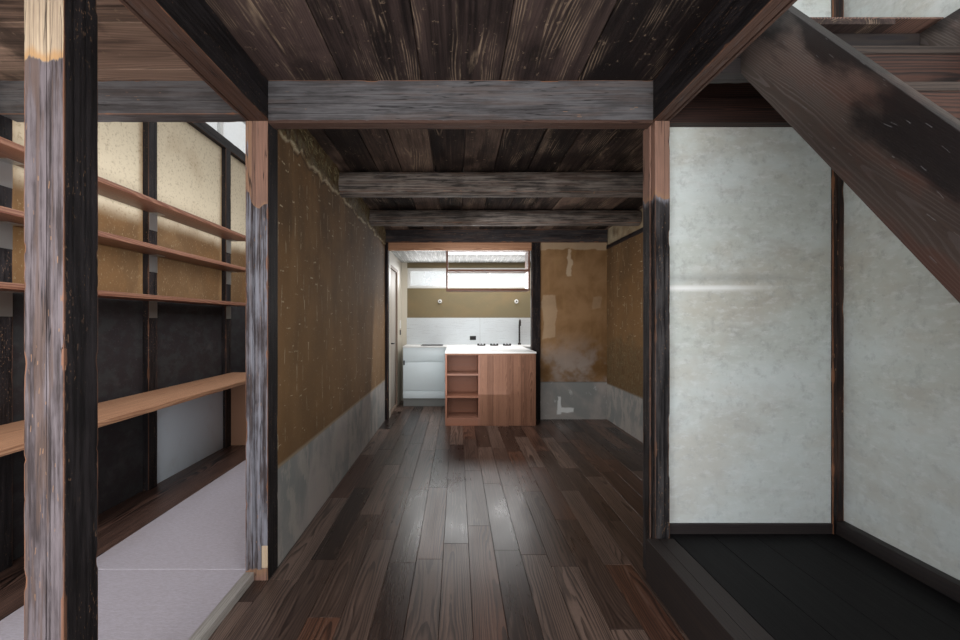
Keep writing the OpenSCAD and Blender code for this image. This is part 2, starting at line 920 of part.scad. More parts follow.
module stair_treads()
    color("saddlebrown")
        for (k = [1 : rises - 1])
            union() {
                tread(k, [x_str0 + stringer_t, x_str1], 0);
                tread_tongues(k);
            }

module stair_risers()
    color("sienna")
        for (k = [2 : rises]) {
            y = y_deck_edge - k * going + tread_d + riser_play;
            block([x_str0 + stringer_t, x_str1], [y, y + riser_t],
                  [max(soffit_z(y + riser_t), z_stair_floor),
                   z_deck1 - (k - 1) * rise - tread_t - riser_play]);
        }

// Left room fittings

y_desk_end = wall_post_y0 + desk_bays * wall_post_pitch + wall_post_w;

module wall_shelves()
    color("peru")
        for (z = shelf_z)
            block([x_post_face, x_post_face + shelf_d], [y_in, y_desk_end],
                  [z_floor + z - shelf_t, z_floor + z]);

// A plate on the post and a foot under the shelf, whose underside is at z
module shelf_bracket(y, z) {
    block([x_post_face, x_post_face + bracket_t], [y, y + bracket_w], [z - bracket_h, z]);
    block([x_post_face, x_post_face + bracket_foot], [y, y + bracket_w], [z - bracket_t, z]);
}

module shelf_brackets()
    color("silver")
        for (z = shelf_z, y = wall_post_ys)
            if (y > y_in && y + wall_post_w < y_desk_end + wall_post_w)
                shelf_bracket(y + (wall_post_w - bracket_w) / 2, z_floor + z - shelf_t);

module desk_top()
    color("peru")
        block([x_post_face, x_post_face + desk_d], [y_in, y_desk_end],
              [z_floor + desk_z - desk_t, z_floor + desk_z]);

module desk_panels()
    color("lightgray") {
        block([x_post_face, x_post_face + desk_d], [y_desk_end, y_desk_end + desk_end_t],
              [z_mat, z_floor + desk_z]);
        block([x_left, x_left + desk_back_t],
              [y_desk_end - wall_post_pitch, y_desk_end - wall_post_w],
              [z_mat, z_floor + desk_z - desk_t]);
    }

// Kitchen fittings

module wood_unit()
    color("sienna")
        difference() {
            block([x_unit0, x_unit1], [y_unit, y_unit + unit_d], [z_floor, z_cabinet]);
            for (i = [0 : len(unit_shelf_z) - 1])
                block([x_unit0 + board_t, x_unit0 + open_w - board_t],
                      [y_unit - over, y_unit + unit_d - board_t],
                      [z_floor + unit_shelf_z[i],
                       i < len(unit_shelf_z) - 1
                           ? z_floor + unit_shelf_z[i + 1] - board_t : z_cabinet - board_t]);
            block([x_unit0 + open_w, x_unit1 - board_t],
                  [y_unit + board_t, y_unit + unit_d + over],
                  [z_floor - over, z_cabinet - board_t]);
        }

// A cabinet open at the top, under the worktop
module cabinet(x, y)
    difference() {
        block(x, y, [z_floor + toe_h, z_cabinet]);
        block([x[0] + cabinet_t, x[1] - cabinet_t], [y[0] + cabinet_t, y[1] - cabinet_t],
              [z_floor + toe_h + cabinet_t, z_cabinet + over]);
    }

// The frame of boards that a cabinet stands on
module plinth(x, y)
    difference() {
        block(x, y, [z_floor, z_floor + toe_h]);
        block([x[0] + cabinet_t, x[1] - cabinet_t], [y[0] + cabinet_t, y[1] - cabinet_t],
              [z_floor - over, z_floor + toe_h + over]);
    }

drawer_edges = concat([toe_h], drawer_z, [worktop_z - worktop_t]);

// Drawer fronts at the left, and one plain front up to the side cabinet
module cabinet_fronts() {
    for (i = [0 : len(drawer_edges) - 2])
        block([x_run + front_gap / 2, x_run + drawer_w - front_gap / 2], [y_run, y_run + cabinet_t],
              [z_floor + drawer_edges[i] + front_gap, z_floor + drawer_edges[i + 1] - front_gap]);
    block([x_run + drawer_w + front_gap / 2, x_unit0 - front_gap], [y_run, y_run + cabinet_t],
          [z_floor + toe_h + front_gap, z_cabinet - front_gap]);
}

module base_cabinets()
    color("whitesmoke") {
        cabinet([x_run, x_right], [y_run + cabinet_t, y_rear]);
        cabinet_fronts();
        plinth([x_run, x_right], [y_run + toe_d, y_rear]);
        cabinet([x_unit0, x_unit1], [y_unit + unit_d, y_run - cabinet_gap]);
        plinth([x_unit0 + toe_d, x_unit1], [y_unit + unit_d, y_run - cabinet_gap]);
    }

module worktop()
    color("white")
        plate([
            [x_unit0 - worktop_end, y_unit - worktop_over],
            [x_unit1 + worktop_end, y_unit - worktop_over],
            [x_unit1 + worktop_end, y_run - worktop_over],
            [x_right, y_run - worktop_over], [x_right, y_rear], [x_run - worktop_end, y_rear],
            [x_run - worktop_end, y_run - worktop_over],
            [x_unit0 - worktop_end, y_run - worktop_over]
        ], [z_cabinet, z_worktop]);

// Two bays of equal height
hang_pitch = (z_kceiling - z_floor - hang_z - hang_t) / 2;

module hanging_shelf()
    color("sienna")
        difference() {
            block([x_unit0, x_unit1], [y_part1, y_part1 + hang_d],
                  [z_floor + hang_z, z_kceiling]);
            for (k = [0, 1])
                block([x_unit0 + hang_t, x_unit1 - hang_t],
                      [y_part1 - over, y_part1 + hang_d + over],
                      [z_floor + hang_z + hang_t + k * hang_pitch,
                       z_floor + hang_z + hang_pitch + k * hang_pitch]);
        }

module splash_plate()
    color("gainsboro")
        block([x_run - worktop_end, x_right], [y_rear - splash_t, y_rear],
              [z_worktop, z_worktop + splash_h]);

// A round burner: its cap, a ring and the bars that carry a pan
module burner(x)
    translate([x, y_run + burner_y, z_worktop]) {
        cylinder(r = burner_r / 2, h = burner_h);
        difference() {
            cylinder(r = burner_r, h = burner_h / 2);
            translate([0, 0, -over])
                cylinder(r = burner_r - support_t, h = burner_h / 2 + 2 * over);
        }
        for (turn = [0, 90])
            rotate([0, 0, turn])
                difference() {
                    block([-burner_r, burner_r], [-support_t / 2, support_t / 2], [0, support_h]);
                    block([-burner_r / 2 - support_t / 2, burner_r / 2 + support_t / 2],
                          [-support_t, support_t], [burner_h, support_h + over]);
                }
    }

module kitchen_fittings()
    color("black") {
        block([x_run + plate_x, x_run + plate_x + plate_w],
              [y_run + plate_y, y_run + plate_y + plate_d], [z_worktop, z_worktop + plate_t]);
        for (i = [0 : burners - 1])
            burner(x_unit0 + burner_x + i * burner_pitch);
        block([x_unit0 + socket_x, x_unit0 + socket_x + socket_w],
              [y_rear - splash_t - socket_t, y_rear - splash_t],
              [z_worktop + socket_z, z_worktop + socket_z + socket_h]);
    }

// A tall tap whose pipe bends over to the front
module kitchen_tap()
    color("silver")
        translate([x_unit1 + tap_x, y_rear - tap_y, z_worktop]) {
            cylinder(r = tap_foot_r, h = tap_foot_h);
            cylinder(r = tap_r, h = tap_h - tap_reach / 2);
            translate([0, -tap_reach / 2, tap_h - tap_reach / 2])
                rotate([90, 0, -90])
                    rotate_extrude(angle = 180)
                        translate([tap_reach / 2, 0])
                            circle(r = tap_r);
            translate([0, -tap_reach, tap_h - tap_reach])
                cylinder(r = tap_r, h = tap_reach / 2);
        }

module wall_lamps()
    color("whitesmoke")
        for (i = [0, 1])
            translate([x_run + lamp_x + i * lamp_pitch, y_rear, z_floor + lamp_z])
                rotate([90, 0, 0])
                    cylinder(r1 = lamp_r, r2 = lamp_r * lamp_taper, h = lamp_d);

base_slab();
hall_floor();
mats();
left_floor_strip();
left_threshold();
front_sills();
stair_floor();
floor_step();
stair_bay_sills();
front_posts();
left_middle_post();
right_middle_post();
free_post();
corner_post();
left_wall_posts();
kitchen_posts();
middle_header();
side_beams();
front_beam();
left_cross_beam();
log_joists();
kitchen_beam();
stairwell_trimmer();
stair_bay_beam();
upper_floor();
left_wall_panels();
left_wall_plate();
clerestory_frame();
window_glass();
party_boarding();
right_wall_front();
right_wall_rear();
hall_left_wall();
stair_bay_wall();
kitchen_side_panel();
kitchen_lintel();
kitchen_left_wall();
kitchen_ceiling();
rear_wall_ends();
rear_wall_middle();
rear_window_frame();
door_frame();
door_leaf();
door_handle();
stair_stringers();
stair_treads();
stair_risers();
wall_shelves();
shelf_brackets();
desk_top();
desk_panels();
wood_unit();
base_cabinets();
worktop();
hanging_shelf();
splash_plate();
kitchen_fittings();
kitchen_tap();
wall_lamps();
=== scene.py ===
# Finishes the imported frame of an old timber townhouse: boards, hewn timbers, earth walls,
# mats, fitted shelves and a small kitchen. Everything is in metres, in the frame's own place.
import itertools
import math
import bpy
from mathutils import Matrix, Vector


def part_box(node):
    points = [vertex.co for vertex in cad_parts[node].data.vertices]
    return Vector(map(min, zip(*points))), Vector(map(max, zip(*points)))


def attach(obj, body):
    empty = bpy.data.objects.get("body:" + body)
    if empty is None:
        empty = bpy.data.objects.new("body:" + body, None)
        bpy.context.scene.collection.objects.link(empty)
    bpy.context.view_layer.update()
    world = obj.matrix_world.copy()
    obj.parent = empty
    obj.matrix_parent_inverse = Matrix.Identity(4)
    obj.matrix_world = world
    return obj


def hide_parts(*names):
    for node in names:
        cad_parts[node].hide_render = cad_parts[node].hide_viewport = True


bl_info = {
    "name": "Townhouse finishes",
    "version": (1, 0, 0),
    "blender": (4, 5, 0),
    "location": "3D View > Sidebar > Townhouse",
    "description": "Boards, hewn timbers, earth walls and fittings for a timber townhouse",
    "category": "Object",
}

from types import SimpleNamespace

import bmesh
import bpy
import numpy as np
from mathutils import Matrix, Vector

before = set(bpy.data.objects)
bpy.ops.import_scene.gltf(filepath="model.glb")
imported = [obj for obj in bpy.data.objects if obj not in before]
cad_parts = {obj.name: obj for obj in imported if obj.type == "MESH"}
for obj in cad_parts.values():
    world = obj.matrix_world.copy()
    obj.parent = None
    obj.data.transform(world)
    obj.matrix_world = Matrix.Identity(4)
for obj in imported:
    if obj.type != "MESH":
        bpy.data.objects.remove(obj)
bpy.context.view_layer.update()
BOX = {name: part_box(name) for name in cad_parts}

HOUSE = "house"
DOOR = "side_door"


# Stations, read from the frame

FLOOR_Z = BOX["hall_floor"][1].z
LEFT_POST = BOX["left_middle_post"]
RIGHT_POST = BOX["right_middle_post"]
ROOM_FRONT = BOX["hall_floor"][0].y
ROOM_REAR = BOX["hall_floor"][1].y
RIGHT_WALL = BOX["right_wall_rear"][0].x
PARTITION = BOX["kitchen_posts"]
HALL_MIDDLE = (LEFT_POST[1].x + RIGHT_POST[0].x) / 2


# Values that a user would change

def linear(red, green, blue):
    """Scene-linear colour from the usual 0 to 255 values."""
    def one(value):
        value /= 255
        return value / 12.92 if value <= 0.04045 else ((value + 0.055) / 1.055) ** 2.4
    return one(red), one(green), one(blue)


def title(name):
    return name.replace("_", " ").capitalize()


def paint(name, description, *values):
    return bpy.props.FloatVectorProperty(
        name=title(name), description=description, subtype="COLOR", size=3, min=0, max=1,
        default=linear(*values))


def length(name, description, value):
    return bpy.props.FloatProperty(
        name=title(name), description=description, unit="LENGTH", min=0, default=value)


COLOURS = {
    "floor_dark": ("Darkest boards of the hall floor", 42, 31, 28),
    "floor_mid": ("Most boards of the hall floor", 78, 62, 55),
    "floor_light": ("Palest boards of the hall floor", 120, 100, 90),
    "floor_red": ("Reddest boards of the hall floor", 100, 66, 51),
    "mat": ("Woven face of the mats", 198, 193, 206),
    "mat_far": ("Where the weave has yellowed", 174, 162, 165),
    "strip_board": ("Boards beside the mats", 130, 100, 88),
    "pale_timber": ("Threshold and door frame", 200, 197, 193),
    "black_floor": ("Stained boards of the stair bay", 17, 16, 18),
    "step": ("Beam along the raised floor", 54, 47, 44),
    "old_dark": ("Smoked face of old timbers", 68, 65, 66),
    "old_grey": ("Weathered face of old timbers", 102, 100, 102),
    "old_brown": ("Brown streaks in weathered faces", 104, 84, 74),
    "dust": ("Pale dust on old timbers", 142, 136, 138),
    "char": ("Blackest faces and cracks", 15, 13, 15),
    "smoked": ("Black faces where light catches", 42, 38, 40),
    "post_pale": ("Weathered face of the free post", 120, 111, 115),
    "post_dark": ("Streaks on the free post", 60, 52, 53),
    "post_blue": ("Weathered face of the middle post", 142, 143, 153),
    "scar": ("Fresh nicks and cuts", 150, 116, 90),
    "arris": ("Orange wood at worn edges", 146, 98, 68),
    "bare_cream": ("Cleaned wood of the free post", 196, 176, 150),
    "bare_gold": ("Lower rim of the cleaned wood", 178, 134, 84),
    "bare_brown": ("Cleaned wood of the middle posts", 150, 114, 98),
    "beam_under": ("Worn lower faces of the beams", 68, 48, 40),
    "log_dark": ("Hewn logs in shade", 58, 53, 50),
    "log_pale": ("Dusty faces of the hewn logs", 142, 131, 123),
    "ceiling_dark": ("Smoked boards overhead", 23, 18, 18),
    "ceiling_mid": ("Brown boards overhead", 76, 61, 57),
    "ceiling_wash": ("Pale streaks overhead", 160, 138, 116),
    "room_ceiling": ("Boards over the left room", 150, 124, 108),
    "tan_plaster": ("Left wall above the shelves", 214, 201, 176),
    "tan_brown": ("Left wall between the shelves", 150, 117, 80),
    "soot": ("Left wall below the shelves", 48, 48, 49),
    "hall_plaster": ("Sand plaster of the hall", 90, 68, 45),
    "hall_orange": ("Warm parts of the hall plaster", 114, 84, 52),
    "hall_dark": ("Darkest parts of the hall plaster", 62, 46, 31),
    "mud": ("Undercoat where the finish is gone", 96, 86, 64),
    "straw": ("Strands in the undercoat", 150, 138, 104),
    "chalk": ("Pale broken edges and flecks", 178, 165, 138),
    "plinth": ("Grey foot of the hall walls", 170, 162, 157),
    "plinth_smear": ("Filler over the plinth", 168, 162, 155),
    "ochre": ("Panel beside the kitchen", 148, 115, 82),
    "white_plaster": ("Stair bay walls", 198, 203, 197),
    "white_cool": ("Whiter trowelled patches", 210, 217, 215),
    "white_warm": ("Warmer trowelled patches", 190, 184, 170),
    "kitchen_wall": ("Side wall of the kitchen", 136, 126, 112),
    "olive": ("Plaster over the worktop", 106, 96, 73),
    "outer_plaster": ("Rear wall", 158, 148, 130),
    "outer_board": ("Party wall boarding", 106, 96, 88),
    "concrete": ("Concrete of the base", 118, 116, 112),
    "white_paint": ("Window frames", 224, 226, 225),
    "wash_grey": ("Grey of the kitchen ceiling", 136, 138, 136),
    "new_oak": ("Shelves, desk and lintel", 148, 104, 78),
    "new_oak_light": ("Light figure of the new wood", 202, 156, 124),
    "red_wood": ("Kitchen unit and hanging shelf", 94, 55, 42),
    "red_wood_light": ("Light figure of the red wood", 144, 98, 78),
    "unit_dark": ("Dark strips of the kitchen unit", 90, 60, 46),
    "unit_light": ("Light strips of the kitchen unit", 134, 96, 76),
    "stair_wood": ("Stringers and treads", 44, 35, 32),
    "stair_light": ("Grey figure of the stringers", 60, 50, 45),
    "stair_red": ("Red-brown parts of the stringers", 68, 44, 36),
    "door_paint": ("Painted leaf of the side door", 108, 97, 88),
    "black_metal": ("Levers, burners and sockets", 20, 20, 21),
    "bracket": ("Painted steel of the shelf brackets", 192, 194, 199),
    "cabinet": ("Kitchen cabinets", 220, 231, 235),
    "worktop": ("Kitchen worktop", 200, 199, 204),
    "steel": ("Splash plate and tap", 214, 220, 223),
    "grey_panel": ("Flat panel under the desk", 214, 226, 236),
    "glass": ("Window panes", 226, 236, 240),
}
SIZES = {
    "floor_board": ("Hall floor board, seam to seam", 0.1375),
    "floor_length": ("Hall floor board, end to end", 0.95),
    "floor_gap": ("Gap between floor boards", 0.0014),
    "front_ceiling": ("Width of the front boards overhead", 0.375),
    "rear_ceiling_min": ("Narrowest rear board", 0.17),
    "rear_ceiling_max": ("Widest rear board", 0.26),
    "outer_board_min": ("Narrowest party wall board", 0.16),
    "outer_board_max": ("Widest party wall board", 0.22),
    "mat_rib": ("Pitch of the ribs woven in the mats", 0.0075),
    "arris": ("Rounding of old arrises", 0.003),
    "chip": ("Depth of the chips along old arrises", 0.007),
    "hewn": ("Unevenness of old faces", 0.0014),
    "new_arris": ("Rounding of new boards", 0.0012),
    "mud_band": ("Foot of the lost plaster in the hall", 2.2),
    "mud_proud": ("Most that the mud stands out of the hall wall", 0.018),
    "plinth_top": ("Height of the hall's grey plinth", 0.5),
    "straw_length": ("Length of the straw in the mud", 0.045),
    "rail_height": ("Rail along the right hall wall", 2.14),
}


class TownhouseColours(bpy.types.PropertyGroup):
    """Colours of the finishes"""
    __annotations__ = {name: paint(name, *values) for name, values in COLOURS.items()}


class TownhouseSizes(bpy.types.PropertyGroup):
    """Sizes of what repeats"""
    __annotations__ = {name: length(name, *values) for name, values in SIZES.items()}


class TownhouseView(bpy.types.PropertyGroup):
    """Where the picture is taken from"""
    eye: bpy.props.FloatVectorProperty(
        name="Eye", description="Place of the lens", subtype="TRANSLATION", unit="LENGTH",
        default=(0.170, -3.1525, 1.370))
    lens: bpy.props.FloatProperty(
        name="Lens", description="Focal length in millimetres", default=16)
    picture: bpy.props.IntVectorProperty(
        name="Picture", description="Width and height of the picture", size=2,
        default=(960, 640))
    vanishing: bpy.props.IntVectorProperty(
        name="Vanishing point", description="Where the long lines meet in the picture",
        size=2, default=(457, 321))


def sizes():
    return bpy.context.scene.townhouse_sizes


def rgba(name):
    return (*getattr(bpy.context.scene.townhouse_colours, name), 1.0)


def added(name, data):
    """A new object in the scene."""
    obj = bpy.data.objects.new(name, data)
    bpy.context.scene.collection.objects.link(obj)
    return obj


# Noise and small sums on arrays

def lattice_noise(points, seed):
    """Smooth noise from -1 to 1 at each row of points."""
    cell = np.floor(points).astype(np.int64)
    part = points - cell
    part = part * part * (3 - 2 * part)
    total = np.zeros(len(points))
    for corner in itertools.product((0, 1), repeat=3):
        at = (cell + corner).astype(np.uint32)
        mixed = (at[:, 0] * np.uint32(73856093)) ^ (at[:, 1] * np.uint32(19349663))
        mixed ^= (at[:, 2] * np.uint32(83492791)) ^ np.uint32((seed * 40503 + 977) & 0xFFFFFFFF)
        mixed = (mixed ^ (mixed >> np.uint32(13))) * np.uint32(1274126177)
        mixed ^= mixed >> np.uint32(16)
        weight = np.prod(np.where(corner, part, 1 - part), axis=1)
        total += weight * (mixed & np.uint32(0xFFFF)) / 65535
    return total * 2 - 1


def fractal(points, scale, seed=1, octaves=3):
    """Layered noise from about -1 to 1; scale is a number or one per axis."""
    points = np.asarray(points, float) * scale
    total, size = np.zeros(len(points)), 1.0
    for k in range(octaves):
        total += size * lattice_noise(points * 2 ** k, seed + 31 * k)
        size *= 0.5
    return total / (2 - 2 * size)


def smooth(value):
    """0 below -0.5, 1 above 0.5, with a soft step between."""
    t = np.clip(value + 0.5, 0, 1)
    return t * t * (3 - 2 * t)


def plane_points(u, v):
    return np.stack([u, v, np.zeros_like(u)], axis=1)


# Meshes: a shape is a dict of verts, faces and values kept on each vertex

MARKS = ("wear", "char", "bare", "crack", "tone")


def shape(verts, faces, **values):
    made = {"verts": np.asarray(verts, float), "faces": faces}
    count = len(made["verts"])
    made["grain"] = np.asarray(values.get("grain", verts), float)
    for mark in MARKS:
        made[mark] = np.broadcast_to(np.asarray(values.get(mark, 0.0), float), (count,))
    return made


def joined(shapes):
    """Several shapes as one."""
    faces, start = [], 0
    for one in shapes:
        faces += [tuple(i + start for i in face) for face in one["faces"]]
        start += len(one["verts"])
    keys = ("verts", "grain", *MARKS)
    return {"faces": faces, **{k: np.concatenate([one[k] for one in shapes]) for k in keys}}


def as_mesh(name, made):
    mesh = bpy.data.meshes.new(name)
    mesh.from_pydata(made["verts"].tolist(), [], made["faces"])
    store(mesh, "grain", made["grain"])
    for mark in MARKS:
        if np.any(made[mark]):
            store(mesh, mark, made[mark])
    mesh.update()
    return mesh


def store(mesh, name, values):
    """Keeps a value or a vector for each vertex."""
    values = np.asarray(values, np.float32)
    kind, key = ("FLOAT_VECTOR", "vector") if values.ndim == 2 else ("FLOAT", "value")
    attribute = mesh.attributes.new(name, kind, "POINT")
    attribute.data.foreach_set(key, values.ravel())


def settle(name, made, material, nodes=(), body=HOUSE, crease=40):
    """Makes the finished piece: material, soft shading up to the crease, and body."""
    mesh = as_mesh(name, made) if isinstance(made, dict) else made
    obj = added(name, mesh)
    mesh.materials.clear()
    mesh.materials.append(finish_of(material))
    mesh.shade_smooth()
    mesh.set_sharp_from_angle(angle=math.radians(crease))
    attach(obj, body)
    if nodes:
        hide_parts(*([nodes] if isinstance(nodes, str) else nodes))
    return obj


def dress(node, material):
    """Gives a CAD node its material."""
    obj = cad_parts[node]
    obj.data.materials.clear()
    obj.data.materials.append(finish_of(material))


def grain_of(verts, axis, shift=0.0):
    """Along the grain, across the thin way and across the wide way, from the middle."""
    verts = np.asarray(verts, float)
    size = np.ptp(verts, axis=0)
    thin, wide = sorted((k for k in range(3) if k != axis), key=lambda k: size[k])
    middle = (verts.min(axis=0) + verts.max(axis=0)) / 2
    return (verts - middle)[:, [axis, thin, wide]] + (shift, 0, 0)


def eased_box(lo, hi, ease, axis=0, tone=0.5, shift=0.0):
    """A board with eased edges: 24 corners, 26 faces."""
    lo, hi = np.asarray(lo, float), np.asarray(hi, float)
    ease = min(ease, float((hi - lo).min()) * 0.3)
    corners = list(itertools.product((0, 1), repeat=3))
    verts = [np.where(corner, hi, lo) + np.where(corner, -ease, ease) * (np.arange(3) != face)
             for corner in corners for face in range(3)]
    faces = []
    for face in range(3):
        a, b = (face + 1) % 3, (face + 2) % 3

        def at(end, va, vb, side):
            corner = [0, 0, 0]
            corner[face], corner[a], corner[b] = end, va, vb
            return 3 * corners.index(tuple(corner)) + side

        for end in (0, 1):
            ring = [at(end, va, vb, face) for va, vb in ((0, 0), (1, 0), (1, 1), (0, 1))]
            faces.append(tuple(ring if end else ring[::-1]))
        for va, vb in itertools.product((0, 1), repeat=2):
            ring = (at(0, va, vb, a), at(1, va, vb, a), at(1, va, vb, b), at(0, va, vb, b))
            faces.append(ring if va == vb else ring[::-1])
    for k, corner in enumerate(corners):
        ring = (3 * k, 3 * k + 1, 3 * k + 2)
        faces.append(ring if sum(corner) % 2 else ring[::-1])
    return shape(verts, faces, grain=grain_of(verts, axis, shift), tone=tone)


def boards(name, parts, material, nodes=(), ease=None, seed=51):
    """Boards from (lowest corner, highest corner, grain axis), each with its own figure."""
    random = np.random.default_rng(seed)
    made = joined([
        eased_box(lo, hi, ease or sizes().new_arris, axis, tone=random.uniform(0, 1),
                  shift=random.uniform(-40, 40)) for lo, hi, axis in parts])
    return settle(name, made, material, nodes, crease=30)


def merged(node):
    """A copy of a CAD node's mesh, merged and without needless edges."""
    work = bmesh.new()
    work.from_mesh(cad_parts[node].data)
    bmesh.ops.remove_doubles(work, verts=work.verts, dist=1e-5)
    bmesh.ops.dissolve_limit(work, angle_limit=math.radians(1), verts=work.verts,
                             edges=work.edges)
    return work


def islands(work):
    """The vertices of each solid in a bmesh, from left, front and foot."""
    left, found = set(work.verts), []
    while left:
        start = left.pop()
        group, queue = [start], [start]
        while queue:
            for edge in queue.pop().link_edges:
                for vert in edge.verts:
                    if vert in left:
                        left.remove(vert)
                        group.append(vert)
                        queue.append(vert)
        found.append(group)
    return sorted(found, key=lambda g: tuple(np.round(np.min([v.co for v in g], axis=0), 4)))


def solid_boxes(node):
    """Lowest and highest corner of each solid of a CAD node."""
    work = merged(node)
    found = []
    for group in islands(work):
        points = np.array([v.co for v in group])
        found.append((points.min(0), points.max(0)))
    work.free()
    return found


def joinery(name, node, material, ease=None, body=HOUSE, axis=None, seed=3, slope=0.0,
            only=None):
    """A node's own solids with eased edges, and a figure of their own on each.

    only(k) says which of the solids are taken; slope turns the grain up from the Y axis.
    """
    work = merged(node)
    for k, solid in enumerate(islands(work)):
        if only and not only(k):
            bmesh.ops.delete(work, geom=solid, context="VERTS")
    sharp = [e for e in work.edges if len(e.link_faces) == 2 and e.calc_face_angle(0) > 0.6]
    bmesh.ops.bevel(work, geom=sharp, offset=ease or sizes().new_arris, segments=2, profile=0.5,
                    affect="EDGES", clamp_overlap=True)
    random = np.random.default_rng(seed)
    work.verts.index_update()
    grain, tone = np.zeros((len(work.verts), 3)), np.zeros(len(work.verts))
    turned = np.array(Matrix.Rotation(-slope, 3, "X")).T
    for solid in islands(work):
        points = np.array([v.co for v in solid]) @ turned
        run = int(np.argmax(np.ptp(points, axis=0))) if axis is None else axis
        rows = [v.index for v in solid]
        grain[rows] = grain_of(points, run, random.uniform(-40, 40))
        tone[rows] = random.uniform(0, 1)
    mesh = bpy.data.meshes.new(name)
    work.to_mesh(mesh)
    work.free()
    store(mesh, "grain", grain)
    store(mesh, "tone", tone)
    return settle(name, mesh, material, node, body, crease=30)


# Old timbers: hewn boxes with rounded arrises, chips, drying checks and grooves

def side_samples(width, checks, groove, kerf, random):
    """Places across one face, close together at the arrises, with three at each check."""
    near = [d for d in (0.0, 0.0015, 0.004, 0.008, 0.014) if d < width * 0.35]
    steps = max(2, round((width - 2 * near[-1]) / 0.013))
    places = near + list(np.linspace(near[-1], width - near[-1], steps + 1))[1:-1]
    places += [width - d for d in near[:0:-1]]
    deep = [0.0] * len(places)
    cuts = [(random.uniform(0.22, 0.78) * width, 1.0) for _ in range(checks)]
    if kerf:
        cuts.append((kerf, 2.0))
    for at, depth in cuts:
        places += [at - 0.0014, at, at + 0.0014]
        deep += [0.0, depth, 0.0]
    if groove:
        start, stop = groove
        places += [start, start + 0.0004, stop - 0.0004, stop]
        deep += [0.0] * 4
    order = np.argsort(places)
    places, deep = np.array(places)[order], np.array(deep)[order]
    inside = np.zeros(len(places))
    if groove:
        inside = ((places > start + 0.0003) & (places < stop - 0.0003)).astype(float)
    return places, deep, inside


